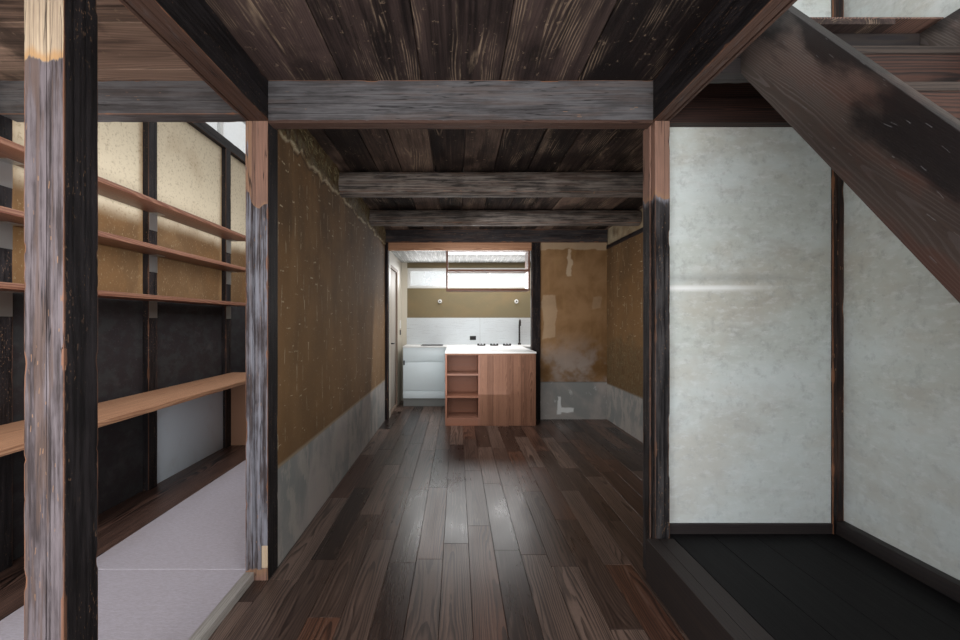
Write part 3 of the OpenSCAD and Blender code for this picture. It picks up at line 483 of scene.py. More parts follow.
def timber(lo, hi, axis, seed, arris=1.0, chip=1.0, hewn=1.0, checks=1, marks=None,
           step=0.02, rounding=0.0, grooves=None, groove_depth=0.0, kerf=None, tone=None):
    """One old timber along an axis, inside its box.

    Its four sides are numbered round the axis. grooves gives (from, to) for a side, kerf is
    (side, place, from, to), and marks(points, outward) gives its stains.
    """
    lo, hi = np.asarray(lo, float), np.asarray(hi, float)
    random = np.random.default_rng(seed)
    a, b = (axis + 1) % 3, (axis + 2) % 3
    size = hi - lo
    half = np.array([size[a], size[b]]) / 2
    ring, deep, normal, gap, sunk = [], [], [], [], []
    for k, (sa, sb) in enumerate(((-1, -1), (1, -1), (1, 1), (-1, 1))):
        width = size[a] if k % 2 == 0 else size[b]
        cut = kerf[1] if kerf and kerf[0] == k else None
        rows = side_samples(width, checks, (grooves or {}).get(k), cut, random)
        ta, tb = ((1, 0), (0, 1), (-1, 0), (0, -1))[k]
        for place, depth, inside in zip(*(row[:-1] for row in rows)):
            ring.append((sa * half[0] + ta * place, sb * half[1] + tb * place))
            normal.append(((0, -1), (1, 0), (0, 1), (-1, 0))[k])
            gap.append(min(place, width - place))
            deep.append(depth)
            sunk.append(inside * groove_depth)
    ring, normal, gap, deep, sunk = map(np.array, (ring, normal, gap, deep, sunk))
    count = max(3, round(size[axis] / step) + 1)
    s = np.repeat(np.linspace(0, size[axis], count), len(ring))
    flat = np.tile(ring, (count, 1))
    out = np.tile(normal, (count, 1))
    edge_gap, crack_at, sunk = np.tile(gap, count), np.tile(deep, count), np.tile(sunk, count)
    own = sizes()
    quadrant = np.sign(flat) * [7.0, 13.0]
    where = np.stack([s, quadrant[:, 0], quadrant[:, 1]], 1)
    round_by = own.arris * arris * (1.3 + 0.6 * fractal(where, (5, 1, 1), seed))
    chipped = smooth((fractal(where, (9, 1, 1), seed + 5) - 0.42) * 5)
    round_by = round_by + own.chip * chip * chipped + rounding * half.min()
    round_by = np.minimum(round_by, half.min() * 0.95)
    inner = half - np.abs(flat)
    at_corner = (inner[:, 0] < round_by) & (inner[:, 1] < round_by)
    centre = half - round_by[:, None]
    away = np.abs(flat) - centre
    reach = np.linalg.norm(away, axis=1, keepdims=True)
    rounded = np.sign(flat) * (centre + away / np.maximum(reach, 1e-9) * round_by[:, None])
    flat = np.where(at_corner[:, None], rounded, flat)
    place = np.stack([s, flat[:, 0], flat[:, 1]], 1)
    dent = own.hewn * hewn * (0.5 + 0.5 * fractal(place, (7, 22, 22), seed + 9))
    along = fractal(np.stack([s, s * 0 + seed, out @ [3.0, 5.0]], 1), (1.1, 1, 1), seed + 2)
    crack = np.where(crack_at == 1, smooth((along + 0.1) * 3), 0)
    if kerf:
        crack += (crack_at == 2) * smooth((s - kerf[2]) / 0.08) * smooth((kerf[3] - s) / 0.08)
    flat = flat - out * (dent + 0.005 * crack + sunk)[:, None]
    points = np.zeros((len(s), 3))
    points[:, axis] = lo[axis] + s
    points[:, a] = (lo[a] + hi[a]) / 2 + flat[:, 0]
    points[:, b] = (lo[b] + hi[b]) / 2 + flat[:, 1]
    n = len(ring)
    i, j = np.meshgrid(np.arange(count - 1), np.arange(n), indexing="ij")
    nxt = (j + 1) % n
    quads = np.stack([i * n + j, i * n + nxt, (i + 1) * n + nxt, (i + 1) * n + j], 2)
    faces = [tuple(q) for q in quads.reshape(-1, 4).tolist()]
    faces += [tuple(range(n))[::-1], tuple(range((count - 1) * n, count * n))]
    outward = np.zeros((len(s), 3))
    outward[:, a], outward[:, b] = out[:, 0], out[:, 1]
    wear = np.clip(1 - edge_gap / 0.012, 0, 1) + chipped * np.clip(1 - edge_gap / 0.02, 0, 1)
    stains = {"char": np.zeros(len(s)), **(marks(points, outward) if marks else {})}
    stains["char"] = np.maximum(stains["char"], sunk > 0)
    tone = random.uniform(0, 1) if tone is None else tone
    return shape(points, faces, grain=grain_of(points, axis, random.uniform(-40, 40)),
                 wear=np.clip(wear, 0, 1), crack=crack, tone=tone, **stains)


def timbers(name, boxes, axis, material, slot, nodes=(), seed=1, **form):
    """Old timbers in a node's solids, or in boxes, as one piece.

    A form value may be a list, one for each.
    """
    if isinstance(boxes, str):
        boxes, nodes = solid_boxes(boxes), boxes
    made = []
    for k, (lo, hi) in enumerate(boxes):
        own = {key: value[k] if isinstance(value, list) else value for key, value in form.items()}
        made.append(timber(lo, hi, axis, seed + 17 * k, **own))
    return settle(name, joined(made), material, nodes)


# Walls: blocks with one fine face, let in by what the surface says

def relief_block(lo, hi, axis, side, step, surface, fine=None):
    """A closed block. surface(u, v) gives the depth of its fine face and its stains.

    fine is (height, step) for rows that lie closer from that height up.
    """
    lo, hi = np.asarray(lo, float), np.asarray(hi, float)
    across = 1 - axis
    us = np.linspace(lo[across], hi[across], max(2, round((hi - lo)[across] / step) + 1))
    level, finer = fine or (hi[2], step)
    vs = np.linspace(lo[2], level, max(2, round((level - lo[2]) / (step * 1.6 if fine else step))
                                       + 1))
    if fine:
        vs = np.append(vs, np.linspace(level, hi[2], round((hi[2] - level) / finer) + 1)[1:])
    uu, vv = (grid.ravel() for grid in np.meshgrid(us, vs, indexing="ij"))
    depth, stains = surface(uu, vv)
    front = np.zeros((len(uu), 3))
    front[:, across], front[:, 2] = uu, vv
    front[:, axis] = (hi if side > 0 else lo)[axis] - side * depth
    quads, rim = grid_faces(len(us), len(vs))
    back = front[rim].copy()
    back[:, axis] = (lo if side > 0 else hi)[axis]
    first, count = len(front), len(rim)
    faces = quads + [(rim[(k + 1) % count], rim[k], first + k, first + (k + 1) % count)
                     for k in range(count)]
    faces.append(tuple(range(first, first + count))[::-1])
    if (axis == 0) != (side > 0):
        faces = [face[::-1] for face in faces]
    values = {k: np.concatenate([v, np.zeros(count)]) for k, v in stains.items()}
    return shape(np.concatenate([front, back]), faces, **values)


def grid_faces(nu, nv):
    """Faces of a grid of points, and the points round its rim."""
    i, j = np.meshgrid(np.arange(nu - 1), np.arange(nv - 1), indexing="ij")
    quads = np.stack([i * nv + j, (i + 1) * nv + j, (i + 1) * nv + j + 1, i * nv + j + 1], 2)
    rim = [k * nv for k in range(nu)] + [(nu - 1) * nv + k for k in range(1, nv)]
    rim += [k * nv + nv - 1 for k in range(nu - 2, -1, -1)] + [k for k in range(nv - 2, 0, -1)]
    return [tuple(q) for q in quads.reshape(-1, 4).tolist()], rim


def plain_surface(depth=0.0006, seed=1):
    """A trowelled face that wavers a little."""
    def surface(u, v):
        points = plane_points(u, v)
        waves = fractal(points, (1.6, 4.5, 1), seed) + 0.4 * fractal(points, 22, seed + 3)
        return depth * (1.4 + waves), {}
    return surface


# Node trees

def step_of(operation):
    return lambda wire, other: wire.nodes.calc(operation, wire, other)


class Wire:
    """An output socket that takes part in sums."""
    __add__ = __radd__ = step_of("ADD")
    __mul__ = __rmul__ = step_of("MULTIPLY")
    __sub__, __truediv__ = step_of("SUBTRACT"), step_of("DIVIDE")

    def __init__(self, nodes, socket):
        self.nodes, self.socket = nodes, socket

    def __rsub__(self, other):
        return self.nodes.calc("SUBTRACT", other, self)


class Nodes:
    """Short ways to add nodes to a tree; at is the place that its patterns follow."""

    def __init__(self, tree):
        self.tree = tree

    def node(self, kind, sockets=None, **settings):
        node = self.tree.nodes.new(kind)
        for name, value in settings.items():
            setattr(node, name, value)
        for name, value in (sockets or {}).items():
            self.give(node.inputs[name], value)
        return node

    def give(self, socket, value):
        if isinstance(value, Wire):
            self.tree.links.new(value.socket, socket)
        else:
            socket.default_value = value

    def wires(self, sockets):
        """The sockets by name, with _ for each space."""
        return SimpleNamespace(**{s.name.replace(" ", "_"): Wire(self, s) for s in sockets})

    def out(self, kind, sockets=None, pick=0, **settings):
        return Wire(self, self.node(kind, sockets, **settings).outputs[pick])

    def calc(self, operation, a, b=0):
        return self.out("ShaderNodeMath", {0: a, 1: b}, operation=operation)

    def vectors(self, operation, a, b):
        return self.out("ShaderNodeVectorMath", {0: a, 1: b}, operation=operation)

    def triple(self, x, y, z=0):
        return self.out("ShaderNodeCombineXYZ", {0: x, 1: y, 2: z})

    def parts(self, vector):
        node = self.node("ShaderNodeSeparateXYZ", {0: vector})
        return [Wire(self, socket) for socket in node.outputs]

    def mix(self, factor, a, b):
        """Mixes two colours; a name stands for one of the colours above."""
        a, b = (rgba(colour) if isinstance(colour, str) else colour for colour in (a, b))
        return self.out("ShaderNodeMix", {0: factor, 6: a, 7: b}, 2, data_type="RGBA")

    def cloud(self, scale=1, detail=3, rough=0.55, distortion=0, at=None):
        return self.out("ShaderNodeTexNoise", {
            "Vector": at or self.at, "Scale": scale, "Detail": detail, "Roughness": rough,
            "Distortion": distortion})

    def drift(self, stretch, detail, rough=0.55, at=None):
        """Noise stretched by a number for each axis; the last number holds for those left."""
        stretch = (*stretch, stretch[-1], stretch[-1])[:3]
        return self.cloud(1, detail, rough, at=self.vectors("MULTIPLY", at or self.at, stretch))

    def spread(self, value, low, high, to_low=0, to_high=1):
        return self.out("ShaderNodeMapRange", {
            "Value": value, "From Min": low, "From Max": high, "To Min": to_low,
            "To Max": to_high}, interpolation_type="SMOOTHSTEP")

    def patches(self, stretch, low, high, amount=1, detail=4, rough=0.6, at=None):
        return self.spread(self.drift(stretch, detail, rough, at), low, high, 0, amount)

    def value(self, name, pick="Fac"):
        """A value that the mesh keeps on its vertices."""
        return self.out("ShaderNodeAttribute", pick=pick, attribute_name=name)

    def group(self, name, **sockets):
        """A shared group, made when it is first asked for, with its own values."""
        node = self.node("ShaderNodeGroup")
        node.node_tree = bpy.data.node_groups.get(name) or GROUP_MAKERS[name](name)
        for label, value in sockets.items():
            self.give(node.inputs[label], value)
        return self.wires(node.outputs)


# Boards laid in rows, made with Geometry Nodes

KINDS = {"Geometry": "NodeSocketGeometry", "Board": "NodeSocketObject",
         "Material": "NodeSocketMaterial",
         **dict.fromkeys(("Rows", "Columns", "Seed", "Count"), "NodeSocketInt")}


def tree_with(name, *labels):
    """A geometry tree with one geometry output: its short ways and its inputs."""
    tree = bpy.data.node_groups.new(name, "GeometryNodeTree")
    tree.interface.new_socket("Geometry", in_out="OUTPUT", socket_type=KINDS["Geometry"])
    for label in labels:
        tree.interface.new_socket(label, in_out="INPUT",
                                  socket_type=KINDS.get(label, "NodeSocketFloat"))
    g = Nodes(tree)
    return g, g.wires(tree.nodes.new("NodeGroupInput").outputs)


def random_float(g, low, high, key, seed):
    node = g.node("FunctionNodeRandomValue", data_type="FLOAT")
    for name, value in (("Min", low), ("Max", high), ("ID", key), ("Seed", seed)):
        g.give([s for s in node.inputs if s.name == name and s.enabled][0], value)
    return Wire(g, [s for s in node.outputs if s.enabled][0])


def keep(g, geometry, name, value, kind="FLOAT", domain="POINT"):
    return g.out("GeometryNodeStoreNamedAttribute", {
        "Geometry": geometry, "Name": name, "Value": value}, data_type=kind, domain=domain)


def kept(g, name):
    return g.out("GeometryNodeInputNamedAttribute", {"Name": name}, data_type="FLOAT_VECTOR")


def points_at(g, count, place):
    loose = g.out("GeometryNodePoints", {"Count": count})
    return g.out("GeometryNodeSetPosition", {"Geometry": loose, "Position": place})


def placed(g, given, points, sockets, tone):
    """The board on each point, with its own tone."""
    board = g.out("GeometryNodeObjectInfo", {"Object": given.Board}, "Geometry")
    there = g.out("GeometryNodeInstanceOnPoints", {"Points": points, "Instance": board, **sockets})
    return keep(g, there, "tone", tone, domain="INSTANCE")


def real(g, geometry):
    return g.out("GeometryNodeRealizeInstances", {"Geometry": geometry})


def end_of(g, given, geometry):
    """Ends a tree: real geometry with its material."""
    finished = g.out("GeometryNodeSetMaterial", {"Geometry": geometry,
                                                 "Material": given.Material})
    g.give(g.tree.nodes.new("NodeGroupOutput").inputs["Geometry"], finished)
    return g.tree


def laid_boards_tree():
    """Rows of boards of random width with staggered ends, on the X and Y axes."""
    g, given = tree_with("laid_boards", "Board", "Rows", "Columns", "Narrowest", "Widest",
                         "Board Width", "Length", "Unevenness", "Seed", "Material")
    seeds = [given.Seed + float(k) for k in range(5)]
    index = g.out("GeometryNodeInputIndex")
    row = g.calc("FLOOR", index / given.Columns)
    column = index - row * given.Columns
    width = random_float(g, given.Narrowest, given.Widest, row, seeds[0])
    first = g.calc("LESS_THAN", column, 0.5)
    run = g.out("GeometryNodeAccumulateField", {0: width * first}, "Leading", data_type="FLOAT")
    shift = random_float(g, 0, 1, row, seeds[1])
    y = (column + 0.5 - shift) * given.Length
    z = random_float(g, given.Unevenness * -1, 0, index, seeds[2])
    points = points_at(g, given.Rows * given.Columns,
                       g.triple(run - width * 0.5, y, z))
    # the width is worked out for each point before it is instanced
    wide = keep(g, points, "stretch", g.triple(width / given.Board_Width, 1, 1),
                "FLOAT_VECTOR")
    toned = placed(g, given, wide, {"Scale": kept(g, "stretch")},
                   random_float(g, 0, 1, index, seeds[3]))
    away = g.triple(random_float(g, -40, 40, index, seeds[4]), 0)
    moved = keep(g, toned, "away", away, "FLOAT_VECTOR", "INSTANCE")
    figure = g.vectors("ADD", kept(g, "grain"), kept(g, "away"))
    return end_of(g, given, keep(g, real(g, moved), "grain", figure, "FLOAT_VECTOR"))


def grown(tree, values):
    """The mesh that a tree makes; its inputs are set by their sockets' identifiers."""
    holder = added("holder", bpy.data.meshes.new("holder"))
    modifier = holder.modifiers.new("grown", "NODES")
    modifier.node_group = tree
    sockets = {s.name: s.identifier for s in tree.interface.items_tree if s.in_out == "INPUT"}
    for name, value in values.items():
        modifier[sockets[name]] = value
    graph = bpy.context.evaluated_depsgraph_get()
    mesh = bpy.data.meshes.new_from_object(holder.evaluated_get(graph))
    bpy.data.objects.remove(holder)
    return mesh


def laid_boards(span, run, narrow, wide, board_length, thickness, gap, ease, seed, material,
                uneven):
    """A mesh of boards over span by run, from the origin, with their tops at or below 0."""
    nominal = (narrow + wide) / 2
    one = eased_box((-(nominal - gap) / 2, -(board_length - gap) / 2, -thickness),
                    ((nominal - gap) / 2, (board_length - gap) / 2, 0), ease, axis=1, tone=0.0)
    board = added("board", as_mesh("board", one))
    mesh = grown(bpy.data.node_groups.get("laid_boards") or laid_boards_tree(), {
        "Board": board, "Rows": math.ceil(span / narrow) + 1,
        "Columns": math.ceil(run / board_length) + 1, "Narrowest": narrow, "Widest": wide,
        "Board Width": nominal, "Length": board_length, "Unevenness": uneven, "Seed": seed,
        "Material": material})
    bpy.data.objects.remove(board)
    return mesh


def cut_to_boxes(mesh, boxes):
    """The parts of a mesh inside each box, as one mesh with closed cuts."""
    whole = bmesh.new()
    for lo, hi in boxes:
        work = bmesh.new()
        work.from_mesh(mesh)
        for axis, (point, sign) in itertools.product(range(3), ((hi, 1), (lo, -1))):
            outward = Vector((0, 0, 0))
            outward[axis] = sign
            cut = bmesh.ops.bisect_plane(
                work, geom=[*work.verts, *work.edges, *work.faces], plane_co=Vector(point),
                plane_no=outward, clear_outer=True)
            rim = [e for e in cut["geom_cut"] if isinstance(e, bmesh.types.BMEdge)]
            if rim:
                bmesh.ops.holes_fill(work, edges=rim, sides=0)
        part = bpy.data.meshes.new("part")
        work.to_mesh(part)
        work.free()
        whole.from_mesh(part)
    result = bpy.data.meshes.new("boards")
    whole.to_mesh(result)
    whole.free()
    return result


ALONG_Y = Matrix.Identity(4)
ALONG_X = Matrix(((0, 1, 0, 0), (1, 0, 0, 0), (0, 0, -1, 0), (0, 0, 0, 1)))
UPRIGHT_X = Matrix(((0, 0, 1, 0), (1, 0, 0, 0), (0, 1, 0, 0), (0, 0, 0, 1)))


def boarded(name, boxes, place, turn, widths, board_length, thickness, gap, ease, seed,
            material, nodes, uneven=0.0):
    """Laid boards turned and moved to place, cut to the boxes."""
    lo = np.min([box[0] for box in boxes], axis=0)
    hi = np.max([box[1] for box in boxes], axis=0)
    local = turn.inverted().to_3x3() @ Vector(hi - lo)
    mesh = laid_boards(abs(local.x), abs(local.y), *widths, board_length, thickness, gap, ease,
                       seed, finish_of(material), uneven)
    mesh.transform(Matrix.Translation(Vector(place)) @ turn)
    return settle(name, cut_to_boxes(mesh, boxes), material, nodes, crease=30)


# Shared shader groups

def shader_group(name, inputs, outputs):
    """A new group: its short ways, its inputs, and a function that gives its outputs."""
    tree = bpy.data.node_groups.new(name, "ShaderNodeTree")
    for label, value in {"Vector": None, **inputs}.items():
        kind = "NodeSocketVector" if value is None else "NodeSocketFloat"
        socket = tree.interface.new_socket(label, in_out="INPUT", socket_type=kind)
        if value is not None:
            socket.default_value = value
    for label in outputs:
        tree.interface.new_socket(label, in_out="OUTPUT", socket_type="NodeSocketFloat")
    result = tree.nodes.new("NodeGroupOutput")
    g = Nodes(tree)
    given = g.wires(tree.nodes.new("NodeGroupInput").outputs)
    g.at = given.Vector

    def give(**values):
        for label, value in values.items():
            g.give(result.inputs[label], value)
        return tree
    return g, given, give


def grain_group(name):
    """Growth rings of a sawn board, streaks and fibres along the grain, and pores.

    Pith is how far the heart of the trunk lies from the board, Ring is the ring width.
    """
    g, given, give = shader_group(
        name, {"Tone": 0.5, "Ring": 0.008, "Pith": 0.06, "Warp": 1, "Streak": 120},
        ("Rings", "Streaks", "Fibres", "Pores", "Height"))
    pith, warp, streak = given.Pith, given.Warp, given.Streak
    along, thin, wide = g.parts(g.at)
    deep, side = (g.calc("FRACT", given.Tone * k) for k in (7.31, 3.77))
    down = thin + pith * (deep + 0.5)
    across = wide + pith * (side - 0.5) * 2
    radius = g.calc("SQRT", down * down + across * across)
    sway, waver = (g.drift(stretch, 2) - 0.5 for stretch in ((0.9, 6), (7, 40)))
    radius = radius + along * 0.012 + sway * warp * 0.06 + waver * warp * 0.004
    turn = g.calc("FRACT", radius / given.Ring)
    rings = g.spread(turn, 0.2, 0.88) * g.spread(turn, 1, 0.9)
    fine = g.vectors("MULTIPLY", g.at, g.triple(1.6, streak, streak))
    streaks = g.cloud(1, 4, 0.6, at=fine)
    fibres = g.drift((12, 520), 2)
    pores = g.patches((28, 900), 0.58, 0.72, 1, 1)
    height = streaks * 0.6 + fibres * 0.25 + rings * 0.2 + pores * -0.4
    return give(Rings=rings, Streaks=streaks, Fibres=fibres, Pores=pores, Height=height)


def torn_group(name):
    """A mask with a torn, noisy edge, and the rim just inside that edge."""
    g, given, give = shader_group(
        name, {"Mask": 0, "Scale": 30, "Tear": 0.6, "Soft": 0.06, "Band": 0.3}, ("Mask", "Rim"))
    pushed = given.Mask + (g.cloud(given.Scale, 5, 0.65) - 0.5) * given.Tear
    mask = g.spread(pushed, 0.5 - given.Soft, given.Soft + 0.5)
    return give(Mask=mask, Rim=mask * g.spread(pushed, given.Band + 0.5, 0.5))


def plaster_group(name):
    """Trowel sweeps, blotches and sand for earth and lime plaster."""
    g, given, give = shader_group(
        name, {"Sweep": 1, "Sand": 420}, ("Blotch", "Sweep", "Fleck", "Grain", "Height"))
    sweep = g.cloud(3.2, 8, 0.65, 0.6, g.vectors("MULTIPLY", g.at, (1, 1, 2.4)))
    sand = g.cloud(given.Sand, 2, 0.6)
    return give(Blotch=g.cloud(1.7, 6, 0.6, 0.4), Sweep=sweep, Grain=sand,
                Fleck=g.spread(g.cloud(95, 2, 0.5), 0.66, 0.74),
                Height=sweep * given.Sweep + sand * 0.3)


def strokes_group(name):
    """Single strokes scattered in cells, along the first axis of a flat vector."""
    g, given, give = shader_group(
        name, {"Length": 0.35, "Width": 0.06, "Turn": 0.4, "Share": 0.4}, ("Mask",))
    cell = g.wires(g.node("ShaderNodeTexVoronoi", {"Vector": g.at, "Scale": 1},
                          voronoi_dimensions="2D").outputs)
    u, v, _ = g.parts(g.vectors("SUBTRACT", g.at, cell.Position))
    first, second, third = g.parts(cell.Color)
    v = v + u * (first - 0.5) * given.Turn
    v = v + (g.cloud(5) - 0.5) * given.Width * 2
    far = g.calc("ABSOLUTE", u) / (given.Length * (second * 0.7 + 0.3))
    off = g.calc("ABSOLUTE", v) / (given.Width * (third + 0.4))
    picked = g.calc("LESS_THAN", g.calc("FRACT", second * 13.7), given.Share)
    return give(Mask=g.spread(far, 1, 0.6) * g.spread(off, 1, 0.3) * picked)


GROUP_MAKERS = {"timber_grain": grain_group, "torn_edge": torn_group,
                "plaster_face": plaster_group, "strokes": strokes_group}


# Materials

class Finish(Nodes):
    """A material in the making; constants are set on its shader's own sockets."""

    def __init__(self, name, roughness=0.6, grained=False, **constants):
        self.material = bpy.data.materials.new(name)
        self.material.use_nodes = True
        super().__init__(self.material.node_tree)
        shader = next(n for n in self.tree.nodes if n.type == "BSDF_PRINCIPLED")
        self.into = shader.inputs
        self.into["Roughness"].default_value = roughness
        for label, value in constants.items():
            self.into[label.replace("_", " ")].default_value = value
        self.place = self.out("ShaderNodeTexCoord", pick="Object")
        self.at = self.value("grain", "Vector") if grained else self.place

    def grain(self, ring=0.008, pith=0.06, warp=1, streak=120):
        return self.group("timber_grain", Vector=self.at, Tone=self.value("tone"), Ring=ring,
                          Pith=pith, Warp=warp, Streak=streak)

    def plaster(self, sweep, sand):
        return self.group("plaster_face", Vector=self.at, Sweep=sweep, Sand=sand)

    def strokes(self, vector, length, width, turn, share):
        return self.group("strokes", Vector=vector, Length=length, Width=width, Turn=turn,
                          Share=share).Mask

    def nicks(self, long, width, turn, share):
        """Strokes across a timber's own faces."""
        along, thin, wide = self.parts(self.at)
        flat = self.triple(along * long, (thin + wide * 1.37) * 60)
        return self.strokes(flat, *width, turn, share)

    def torn(self, mask, stretch, **values):
        where = self.vectors("MULTIPLY", self.at, stretch) if stretch else self.at
        return self.group("torn_edge", Mask=self.value(mask), Vector=where, **values)

    def start(self, a, b, mask):
        """The first two colours."""
        self.colour = self.mix(mask, a, b)

    def lay(self, colour, mask):
        """A colour over what is there, as far as the mask says; a name is the mesh's own."""
        mask = self.value(mask) if isinstance(mask, str) else mask
        self.colour = self.mix(mask, self.colour, colour)

    def dapple(self, colour, *patches, **values):
        self.lay(colour, self.patches(*patches, **values))

    def done(self, height=None, bump=0.4, distance=0.001, rough=None):
        self.give(self.into["Base Color"], self.colour)
        if rough is not None:
            self.give(self.into["Roughness"], rough)
        if height is not None:
            self.give(self.into["Normal"], self.out("ShaderNodeBump", {
                "Height": height, "Strength": bump, "Distance": distance}))
        return self.material


def wood(name, dark, light, ring=0.006, pith=0.05, warp=1, streak=150, figure=0.4,
         roughness=0.5, bump=0.3, swing=0.3, **constants):
    """New or sound boards: rings and streaks between two colours, each board its own tone."""
    f = Finish(name, roughness, True, **constants)
    grain = f.grain(ring, pith, warp, streak)
    level = (grain.Streaks * (1.3 - figure) + grain.Rings * -figure
             + grain.Fibres * 0.3 + (f.value("tone") - 0.5) * swing)
    f.start(dark, light, f.spread(level, 0.15, 0.95 - 0.5 * figure))
    f.lay("char", grain.Pores * 0.35)
    return f.done(grain.Height, bump, 0.0006, grain.Streaks * 0.25 + (roughness - 0.12))


def walnut_floor(name):
    """Hall floor: boards of mixed walnut browns with a low sheen."""
    f = Finish(name, 0.34, True)
    grain = f.grain(0.007, 0.09, 1.2, 100)
    tone = f.value("tone")
    f.start("floor_dark", "floor_mid", f.spread(tone, 0.1, 0.5))
    f.lay("floor_light", f.spread(tone, 0.55, 1))
    f.lay("floor_red", f.spread(f.calc("FRACT", tone * 5.3), 0.6, 1, 0, 0.8))
    figure = grain.Rings * 0.3 + grain.Streaks * 0.8 + f.drift((1.2, 22), 4) * 0.5
    f.lay("floor_dark", f.spread(figure, 0.66, 1, 0, 0.85))
    f.lay("floor_light", f.spread(figure, 0.7, 0.42, 0, 0.5))
    f.lay("ceiling_dark", grain.Pores * 0.5)
    scuffs = f.patches((4, 1.6, 1), 0.3, 0.75, at=f.place)
    return f.done(grain.Height, 0.3, 0.0004,
                  scuffs * 0.1 + grain.Streaks * 0.14 + 0.17 + tone * 0.08)


def overhead_boards(name, light="ceiling_mid", wash=1, ring=0.011, swing=0.5):
    """Upper boards: smoked brown with a bold figure and pale lines washed along it."""
    f = Finish(name, 0.8, True)
    tone = f.value("tone")
    grain = f.grain(ring, 0.07, 1.5, 60)
    shade = grain.Streaks * 0.6 + tone * swing + f.drift((1.5, 9), 4) * 0.6
    f.start("ceiling_dark", light, f.spread(shade, 0.4 + 0.3 * swing, 0.7 + 0.65 * swing))
    f.lay("ceiling_dark", grain.Rings * 0.35)
    where = f.drift((1.6, 8), 5, 0.65) + tone * 0.12
    lines = f.spread(grain.Rings, 0.35, 0.9) * f.spread(where, 0.52, 0.68)
    streak = f.spread(grain.Streaks, 0.52, 0.7) * f.spread(where, 0.56, 0.76)
    pale = f.calc("MAXIMUM", lines, streak * 0.8) * (0.7 * wash)
    f.lay("ceiling_wash", pale * f.spread(grain.Fibres, 0.3, 0.6, 0.45, 1))
    f.dapple("ceiling_dark", (2.6, 1.6, 1), 0.5, 0.66, 0.75, 6, at=f.place)
    f.dapple("ceiling_wash", (38, 30, 1), 0.64, 0.7, 0.35, at=f.place)
    return f.done(grain.Height, 0.6, 0.001)


def old_timber(name, dark="old_dark", grey="old_grey", brown="old_brown", browning=0.5,
               dust=0.3, nicks=0.25, bare="bare_brown", rim="bare_gold", black="smoked"):
    """Hewn timber: soft streaks of grey and brown, dust, checks, nicks, char and bare wood."""
    f = Finish(name, 0.78, True)
    grain = f.grain(0.01, 0.12, 1, 150)
    broad = f.drift((4, 60), 5, 0.65)
    level = broad * 0.35 + f.drift((4.5, 14), 5, 0.6) * 0.3 + grain.Streaks * 0.35
    f.start(dark, grey, f.spread(level, 0.43, 0.57))
    f.dapple(brown, (2, 45, 36), 0.5, 0.6, browning)
    f.dapple("dust", (9, 130), 0.56, 0.68, dust, 5, 0.7)
    f.lay(dark, grain.Fibres * 0.4)
    cuts = f.nicks(18, (0.26, 0.13), 1, nicks) * f.patches((3, 12), 0.46, 0.6)
    burnt = f.torn("char", (9, 50, 50), Scale=1, Tear=0.5, Soft=0.12).Mask
    specks = f.patches((70, 150), 0.62, 0.68, 1, 3) * f.patches((3, 9), 0.4, 0.6)
    sooty = f.mix(f.spread(level, 0.42, 0.62), "char", black)
    f.lay(f.mix(specks * 0.55, sooty, "scar"), burnt)
    f.lay("scar", cuts * f.spread(burnt, 0, 1, 0.8, 0.35))
    worn = f.value("wear") * 0.75 + f.drift((6, 30), 4, 0.6) * 0.6
    f.lay("arris", f.spread(worn, 0.72, 0.95) * f.spread(burnt, 0, 1, 0.7, 0.25))
    clean = f.torn("bare", (12, 60, 60), Scale=1, Tear=0.45, Soft=0.04, Band=0.45)
    pale = f.mix(f.spread(level, 0.38, 0.62, 0.5, 0), bare, "old_brown")
    pale = f.mix(grain.Rings * 0.25, pale, "old_brown")
    f.lay(f.mix(f.spread(clean.Rim, 0, 1) * 0.75, pale, rim), clean.Mask)
    check = f.calc("ABSOLUTE", f.drift((1.6, 60), 2) - 0.5)
    check = f.spread(check, 0.016, 0.004) * f.patches((2, 9), 0.42, 0.55)
    f.lay("char", f.calc("MAXIMUM", check * 0.8, f.value("crack")))
    return f.done(grain.Height + broad * 0.5 + check * -0.6 + cuts * -0.5, 0.7, 0.0014,
                  f.spread(grain.Streaks, 0.3, 0.7, 0.78 - 0.15, 0.78 + 0.1))


def stringer_wood(name):
    """Stair boards: smoked brown with fine pale rings, soot on the upper edge, red wood."""
    f = Finish(name, 0.62, True)
    grain = f.grain(0.005, 0.06, 1.3, 80)
    _, _, z = f.parts(f.place)
    top = f.spread(z, 1.85, 2.35)
    level = grain.Streaks * 0.5 + f.drift((1.4, 5), 4) * 0.6
    f.start("stair_wood", "stair_light", f.spread(level, 0.42, 0.68))
    f.dapple("stair_red", (1.8, 6), 0.48, 0.62, 0.85)
    f.lay("dust", f.spread(grain.Rings, 0.5, 0.95) * f.spread(top, 0, 1, 0.06, 0.3))
    f.lay("log_pale", top * 0.28)
    _, _, wide = f.parts(f.at)
    f.lay("char", f.spread(wide + f.drift((2.6, 8), 5) * 0.7, 0.38, 0.5, 0, 0.85))
    cuts = f.nicks(16, (0.3, 0.12), 1.2, 0.12)
    f.lay("old_grey", cuts * 0.5)
    return f.done(grain.Height + cuts * -0.5, 0.5, 0.001)


